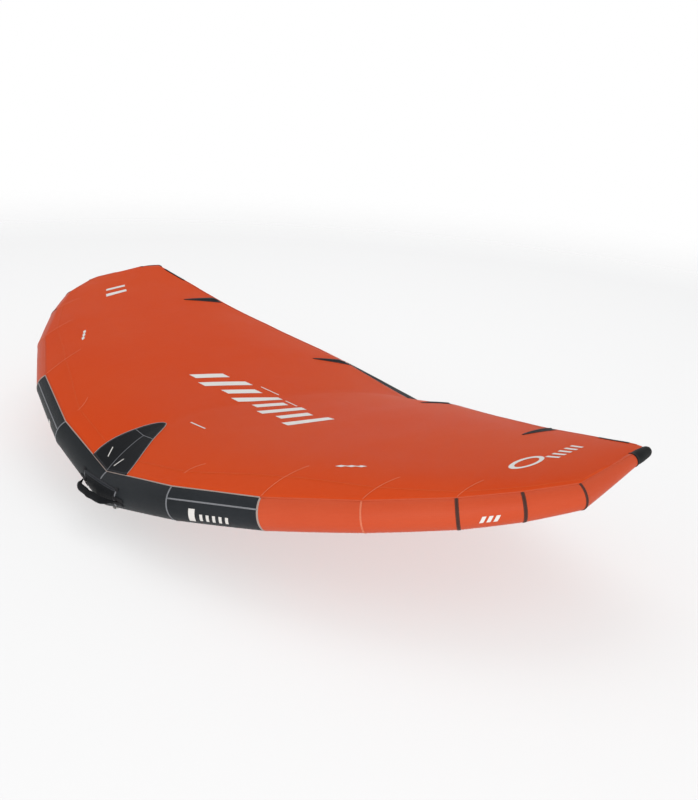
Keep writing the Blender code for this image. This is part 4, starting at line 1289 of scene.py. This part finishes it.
def front_pad():
    """The pad on the leading edge with its band, edging and sewn tabs."""
    def pad_point(down, across):
        spread = 2 * across - 1
        edge = min(1 - abs(spread), 1 - abs(2 * down - 1)) * 5
        swell = PAD_SWELL * min(edge, 1.0) ** 0.6
        return tube_front(pad_half(down) * spread, PAD_TOP + PAD_HEIGHT * down, 0.0008 + swell)

    def band_point(down, across):
        x = (PAD_TOP_HALF - BAND_INSET) * (2 * across - 1)
        return tube_front(x, PAD_TOP - 0.002 - BAND_HEIGHT * down, BAND_LIFT_OVER_PAD)

    made = cloth("front_pad", sheet_rows(12, 32, pad_point), "patch", thickness=0.0008,
                 nodes=["front_handle_pad"])
    cloth("front_pad_band", sheet_rows(3, 32, band_point), "band_grey", thickness=0.0005)
    for side, sign in SIDES:
        rows = [[tube_front(sign * (pad_half(down) + out), PAD_TOP + PAD_HEIGHT * down, over)
                 for out, over in PAD_EDGING] for down in shares(12)]
        cloth(f"front_pad_edging_{side}", rows, "dark_seam", thickness=0.0005, flip=sign < 0)
        for prong in EAR_PRONGS:
            front_ear(prong, side, sign)
        rows = [[tube_front(sign * (TAB_INNER + TAB_WIDTH * out), TAB_TOP - TAB_HEIGHT * down, 0.0030)
                 for out in shares(4)] for down in shares(4)]
        cloth(f"front_pad_tab_{side}", rows, "webbing", thickness=0.0012, flip=sign > 0)
    return made


def front_ear(prong, side, sign):
    """A prong of the sewn end that holds the front grip, from over the pad out onto the tube."""
    top, bottom, outer = EAR_PRONGS[prong]
    inner = EAR_INNER - EAR_LAP

    def point(down, out):
        x = inner + (outer - inner) * out
        over = 0.0048 if x < PAD_TOP_HALF else 0.0026
        return tube_front(sign * x, top + (bottom - top) * down, over)

    nodes = [f"front_handle_ear_{side}"] if prong == "upper" else []
    cloth(f"front_ear_{prong}_{side}", sheet_rows(6, 12, point), "webbing", thickness=0.0014,
          nodes=nodes, flip=sign > 0)


def front_grip():
    places = [(len(GRIP_OUT) - 1) * way for way in shares(24)]
    half = [[flowing(values, place) for values in (GRIP_OUT, GRIP_REACH, GRIP_SIZE)] for place in places]
    spots = [(-out, reach, size) for out, reach, size in half] + [(0.0, 1.0, 1.0)] + list(reversed(half))
    path = []
    sizes = []
    for out, reach, size in spots:
        path.append(FRONT_HANDLE_PIVOT + Vector((out * FRONT_HANDLE_HALF, -reach * FRONT_HANDLE_REACH, 0)))
        sizes.append((GRIP_END + max(size, 0.0) * 0.0135, GRIP_END + max(size, 0.0) * 0.0085))
    return swept_grip("front_grip", path, Vector((0, 0, 1)), sizes, "front_handle", 0.8)


ANCHOR_LEAN = 0.45
ANCHOR_LIFT = 0.0016
STRAP_SPREADS = (1, 0.5, 0, -0.5, -1)
GRIP_DROP = 0.0059


def strut_anchor(part, end, attach, junction, floor_height):
    """A webbing vee: up from the grip's end on both sides, and sewn flat on the strut's skin."""
    gathered = attach * (1 - ANCHOR_LEAN) + junction * ANCHOR_LEAN
    goal = Vector((0.004, junction, floor_height))
    half = []
    for grown in shares(14):
        if grown < 0.5:
            turn = grown / 0.5
            y = attach * (1 - ANCHOR_LEAN * turn) + junction * ANCHOR_LEAN * turn
            half.append(strut_point(y, -1 - 2 * turn, ANCHOR_LIFT))
        else:
            half.append(strut_point(gathered, -3, ANCHOR_LIFT).lerp(goal, (grown - 0.5) / 0.5))
    spine = half + [mirrored(point) for point in reversed(half)]
    rows = [[point + Vector((0, ANCHOR_HALF_WIDTH * spread, 0)) for spread in STRAP_SPREADS]
            for point in spine]
    cloth(f"strut_anchor_{part}_{end}", rows, "webbing", thickness=0.0020,
          nodes=[f"strut_handle_{part}_anchor_{end}"])


def strut_handle(part, places):
    """A handle under the strut: two webbing vees and the grip that hangs between them."""
    front, rear = places["junction"]
    height, radius = strut_section((front + rear) / 2)
    floor_height = height - radius - ANCHOR_DROP
    for end, attach, junction in zip(("front", "rear"), places["attach"], places["junction"]):
        strut_anchor(part, end, attach, junction, floor_height)
    path = []
    sizes = []
    for way in shares(40):
        bow = max(sin(pi * way), 0.0) ** 0.7
        from_end = 0.5 - abs(way - 0.5)
        size = min(bow * 1.15, 1.0) * min(max(from_end / 0.06 - 0.6, 0.0), 1.0)
        sag = bow * min(from_end / 0.08, 1.0)
        y = (front + rear) / 2 + (way - 0.5) * (rear - front)
        path.append(Vector((0, y, floor_height - GRIP_DROP - STRUT_GRIP_SAG * sag)))
        sizes.append((GRIP_END + size * 0.009, GRIP_END + size * 0.0035))
    return swept_grip(f"strut_grip_{part}", path, Vector((1, 0, 0)), sizes, f"strut_handle_{part}", 0.85)


LEASH_HALF_LENGTH = 0.034
LEASH_HALF_WIDTH = 0.009
LEASH_DROP = 0.0145
LEASH_TAIL_HALF_WIDTH = 0.006


def leash_loop():
    """The light loop under the middle of the leading edge, and its sewn tail up the front."""
    rows = []
    for way in shares(32):
        spread = 2 * way - 1
        drop = 1 / (1 + exp((abs(spread) - 0.52) * 30))
        middle, radius = middle_panel(spread * LEASH_HALF_LENGTH)
        depth = radius / station(1).normalized().xy.length
        point = Vector((spread * LEASH_HALF_LENGTH, middle.y, middle.z - depth - 0.0016 - drop * LEASH_DROP))
        rows.append([point + Vector((0, LEASH_HALF_WIDTH * out, 0)) for out in STRAP_SPREADS])
    cloth("leash_strap", rows, "light_webbing", thickness=0.0014, nodes=["leash_loop"])
    rows = []
    for way in shares(18):
        height = -TUBE_RADIUS * sin(radians(20 + 64 * way))
        over = BAND_LIFT_OVER_PAD if height > PAD_BOTTOM - 0.001 else 0.0016
        rows.append([tube_front(-LEASH_TAIL_HALF_WIDTH * out, height, over) for out in STRAP_SPREADS])
    cloth("leash_tail", rows, "light_webbing", thickness=0.0012)


# Valves: profiles of radius and height

VALVE_BASE = 0.0006
CAP_HALF = 0.002
FLAP_GAP = 0.0003
BODY_PROFILE = (
    (0.0112, -VALVE_DEPTH), (0.0135, -VALVE_DEPTH), (0.0135, 0.0006), (0.0205, 0.0006), (0.0210, 0.0012),
    (0.0210, 0.0023), (0.0204, 0.0029), (0.0150, 0.0031), (0.0146, 0.0024), (0.0136, 0.0024),
    (0.0132, 0.0031), (0.0117, 0.0031), (0.0112, 0.0026),
)
CAP_PROFILE = (
    (0.0, -0.002), (0.0176, -0.002), (0.0188, -0.0014), (0.0190, -0.0004), (0.0190, 0.0011), (0.0182, 0.002),
    (0.0160, 0.002), (0.0155, 0.0013), (0.0070, 0.0013), (0.0066, 0.0018), (0.0, 0.0018),
)
FLAP_PROFILE = (
    (0.0, -0.001), (0.0120, -0.001), (0.0125, -0.0007), (0.0125, -0.0002), (0.0121, 0.0), (0.0, 0.0),
)


def skin_frame(point, along, out):
    """A frame that stands on a tube's skin, with Z outward."""
    along = along.normalized()
    out = (out - along * out.dot(along)).normalized()
    across = out.cross(along)
    return Matrix.Translation(point) @ Matrix((along, across, out)).transposed().to_4x4()


def valve(prefix, skin):
    turned_piece(f"{prefix}_valve_ring", BODY_PROFILE, skin, f"{prefix}_valve_body", "wing")
    cap_place = skin @ Matrix.Translation((0, 0, VALVE_BASE + 0.0025 + 0.0005 + CAP_HALF))
    turned_piece(f"{prefix}_valve_lid", CAP_PROFILE, cap_place, f"{prefix}_valve_cap", segments=72)
    flap_place = skin @ Matrix.Translation((0, 0, -VALVE_DEPTH - FLAP_GAP))
    turned_piece(f"{prefix}_valve_leaf", FLAP_PROFILE, flap_place, f"{prefix}_valve_flap")


def corner_point(along, place):
    """A point of the CAD's many-sided tube, where its valve stands."""
    corner = floor(place)
    turn = place - corner
    return tube_point(along, corner) * (1 - turn) + tube_point(along, corner + 1) * turn


def strut_facet(y):
    """The strut's axis, and the middle of its facet where the valve stands."""
    axis = Vector((0, y, strut_section(y)[0]))
    return axis, axis + (strut_point(y, STRUT_VALVE_PLACE) - axis) * cos(pi / PLACES)


def valves():
    place = LEADING_EDGE_VALVE_X / station(1).x
    spot = corner_point(place, LEADING_EDGE_VALVE_PLACE)
    along = corner_point(place - 0.1, LEADING_EDGE_VALVE_PLACE) - spot
    out = along.cross(corner_point(place, LEADING_EDGE_VALVE_PLACE + 0.4) - spot)
    outside = out.dot(spot - mirrored(station(1) * abs(place))) > 0
    valve("leading_edge", skin_frame(spot, along, out if outside else -out))
    axis, spot = strut_facet(STRUT_VALVE_Y)
    behind = strut_facet(STRUT_VALVE_Y + 0.1)[1]
    valve("strut", skin_frame(spot, behind - spot, spot - axis))


# Prints: plain bars and a ring of the size and colour of printed marks

PRINT_LIFT = 0.0010
TUBE_PRINT_LIFT = 0.0017
PATCH_PRINT_RAISE = 0.0018


def tube_bar(name, along, place, size, slant, out, up=0.0):
    """A slanted bar printed on the tube, some metres out and up from a place on it."""
    length, height = size
    panel = PANEL_LENGTHS[min(floor(abs(along)), LAST - 1)]

    def point(down, across):
        rise = height * (down - 0.5)
        side = out + length * (across - 0.5) + slant * rise
        turn = places_round(up + rise, tube_radius(along))
        return tube_point(along + side_of(along) * side / panel, place - turn, TUBE_PRINT_LIFT)

    cloth(name, sheet_rows(6, 4, point), "ink", thickness=0.0, flip=along > 0)


def canopy_bar(name, along, share, size, slant=0.0, out=0.0, back=0.0):
    """A slanted bar printed on the canopy, some metres out and back from a place on it."""
    length, width = size

    def point(down, across):
        rear = width * (down - 0.5)
        side = out + length * (across - 0.5) + slant * rear
        return canopy_spot(along, share, side, back + rear, PRINT_LIFT)

    return cloth(name, sheet_rows(8, 4, point), "ink", thickness=0.0, flip=along < 0)


RING_HALF_LENGTH = 0.088
RING_HALF_WIDTH = 0.042
RING_STROKE = 0.024


def tip_ring_print():
    """An oval ring printed near the right tip, longer along the chord."""
    rows = []
    for inset in (RING_STROKE, RING_STROKE / 2, 0.0):
        out = RING_HALF_WIDTH - inset * 0.6
        back = RING_HALF_LENGTH - inset
        angles = [2 * pi * step / 40 for step in range(40)]
        rows.append([canopy_spot(4.23, 0.413, out * cos(angle), back * sin(angle), PRINT_LIFT)
                     for angle in angles])
    return cloth("print_tip_ring", rows, "ink", wrap=True, thickness=0.0, flip=True)


def prints():
    made = []
    for number in range(8):
        x = -0.345 + 0.112 * number
        size = (0.050, 0.21 if number % 2 else 0.15)
        made.append(canopy_bar(f"print_middle_{number}", x / station(1).x, 0.42, size, 0.35 * side_of(x)))
    for number, (x, share) in enumerate(((-0.08, 0.49), (0.14, 0.475), (0.145, 0.19))):
        made.append(canopy_bar(f"print_line_{number}", x / station(1).x, share, (0.11, 0.007)))
    for number, (x, share) in enumerate(((-0.062, 0.026), (0.030, 0.020))):
        made.append(canopy_bar(f"print_patch_{number}", x / station(1).x, share, (0.006, 0.034), 0.6))
        made[-1].location.z += PATCH_PRINT_RAISE
    for side, sign in SIDES:
        for number in range(3):
            made.append(canopy_bar(f"print_icon_{number}_{side}", sign * 2.48, 0.17, (0.026, 0.016), 0.8,
                                   0.034 * (number - 1), 0.010 * (number - 1)))
        for number in range(3):
            tube_bar(f"print_tube_{number}_{side}", sign * 4.47, 10.6, (0.014, 0.026), 0.5,
                     0.024 * (number - 1))
        tube_bar(f"print_panel_large_{side}", sign * 1.45, 11.0, (0.030, 0.062), 0.3, -0.075)
        for number in range(5):
            tube_bar(f"print_panel_{number}_{side}", sign * 1.45, 11.0, (0.014, 0.034), 0.3,
                     0.030 * number - 0.032, -0.006)
    made.append(tip_ring_print())
    for number in range(5):
        made.append(canopy_bar(f"print_tip_{number}", 4.50, 0.53 + 0.055 * number, (0.050, 0.018)))
    for number in range(2):
        made.append(canopy_bar(f"print_tip_left_{number}", -4.18, 0.413, (0.026, 0.120), 0.2,
                               0.070 * number - 0.035))
    return made


# Stage

CAMERA_PLACE = Vector((3.7395, -3.008, 2.0723))
CAMERA_AZIMUTH = radians(49.65)
CAMERA_ELEVATION = radians(24.54)
CAMERA_ROLL = radians(2.52)
PHOTO_FOCUS = 710.5
AIM_RIGHT = 38.7
AIM_UP = 55.6
CAMERA_LENS = 49.56
FLOOR_RADIUS = 9.0
FLOOR_FADE_START = 2.2
FLOOR_GLOW = 0.55


def linked(name, data):
    made = bpy.data.objects.new(name, data)
    bpy.context.scene.collection.objects.link(made)
    return made


def photo_camera():
    """A camera where the photograph's was, turned so that the wing fills the frame."""
    level = Vector((cos(CAMERA_AZIMUTH), sin(CAMERA_AZIMUTH), 0))
    back = Vector((level.y, -level.x, 0)) * cos(CAMERA_ELEVATION)
    back.z = sin(CAMERA_ELEVATION)
    rise = back.cross(level)
    right = level * cos(CAMERA_ROLL) + rise * sin(CAMERA_ROLL)
    upright = rise * cos(CAMERA_ROLL) - level * sin(CAMERA_ROLL)
    forward = (right * AIM_RIGHT + upright * AIM_UP - back * PHOTO_FOCUS).normalized()
    right = (right - forward * right.dot(forward)).normalized()
    upright = right.cross(forward)
    lens = bpy.data.cameras.new("photo_camera")
    lens.lens = CAMERA_LENS
    lens.clip_end = 200
    camera = linked("photo_camera", lens)
    turn = Matrix((right, upright, -forward)).transposed()
    camera.matrix_world = Matrix.Translation(CAMERA_PLACE) @ turn.to_4x4()
    bpy.context.scene.camera = camera


def studio_light(name, place, aim, size, power, colour):
    lamp = bpy.data.lights.new(name, "AREA")
    lamp.shape = "DISK"
    lamp.size = size
    lamp.energy = power
    lamp.color = colour
    made = linked(name, lamp)
    made.location = place
    made.rotation_mode = "QUATERNION"
    made.rotation_quaternion = (Vector(aim) - Vector(place)).to_track_quat("-Z", "Y")


def studio_floor():
    """A pale floor under the wing that fades into the white around it, open to a view from below."""
    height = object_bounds()[0].z - 0.001
    angles = [2 * pi * step / 64 for step in range(64)]
    mesh = bpy.data.meshes.new("studio_floor")
    ring = [(cos(angle) * FLOOR_RADIUS, sin(angle) * FLOOR_RADIUS, height) for angle in angles]
    mesh.from_pydata(ring, [], [tuple(range(64))])
    made, tree, shader = shader_of("floor_paper")
    tone = mixed(tree, cloudy(tree, 0.8, 3.0, 0.5), (0.94, 0.94, 0.94, 1), (0.93, 0.93, 0.93, 1))
    wire(tree, shader.inputs["Base Color"], tone)
    wire(tree, shader.inputs["Roughness"], 0.9)
    wire(tree, shader.inputs["Specular IOR Level"], 0.1)
    length = [("operation", "LENGTH")]
    distance = added(tree, "ShaderNodeVectorMath", length, Vector=object_place(tree))["Value"]
    fade = stepped(tree, distance, FLOOR_FADE_START, 0.9 * FLOOR_RADIUS)
    backfacing = added(tree, "ShaderNodeNewGeometry")["Backfacing"]
    hidden = calc(tree, "MAXIMUM", calc(tree, "MAXIMUM", fade, FLOOR_GLOW), backfacing)
    blend = tree.nodes.new("ShaderNodeMixShader")
    wire(tree, blend.inputs["Fac"], hidden)
    wire(tree, blend.inputs[1], shader.outputs["BSDF"])
    wire(tree, blend.inputs[2], added(tree, "ShaderNodeBsdfTransparent")["BSDF"])
    wire(tree, tree.nodes["Material Output"].inputs["Surface"], blend.outputs["Shader"])
    mesh.materials.append(made)
    linked("studio_floor", mesh)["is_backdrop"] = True


def studio_sky():
    """White around the horizon and below, softer overhead."""
    world = bpy.data.worlds.new("studio")
    world.use_nodes = True
    tree = world.node_tree
    parts = added(tree, "ShaderNodeSeparateXYZ", Vector=added(tree, "ShaderNodeTexCoord")["Generated"])
    overhead = stepped(tree, parts["Z"], 0.15, 0.60)
    tone = mixed(tree, overhead, (1.0, 1.0, 1.0, 1), (0.66, 0.66, 0.67, 1))
    wire(tree, tree.nodes["Background"].inputs["Color"], tone)
    bpy.context.scene.world = world


def studio():
    studio_floor()
    studio_sky()
    studio_light("key_light", (6.5, -5.0, 1.9), (0, 0, 0.2), 4.0, 230, (1.0, 0.98, 0.96))
    studio_light("top_light", (-1.5, 1.5, 6.0), (0, 0, 0), 5.0, 90, (0.98, 0.99, 1.0))
    bpy.context.scene.view_settings.view_transform = "Standard"


leading_edge()
tip_caps()
strut()
bladders()
canopy = canopy_sheet()
on_canopy = canopy_seams() + seam_piping() + hem_strips() + batten_darts() + centre_patch() + prints()
web = web_sheet()
tail_block()
tail_gusset()
pad = front_pad()
grips = [front_grip()] + [strut_handle(part, places) for part, places in STRUT_HANDLES.items()]
leash_loop()
valves()

photo_camera()
studio()
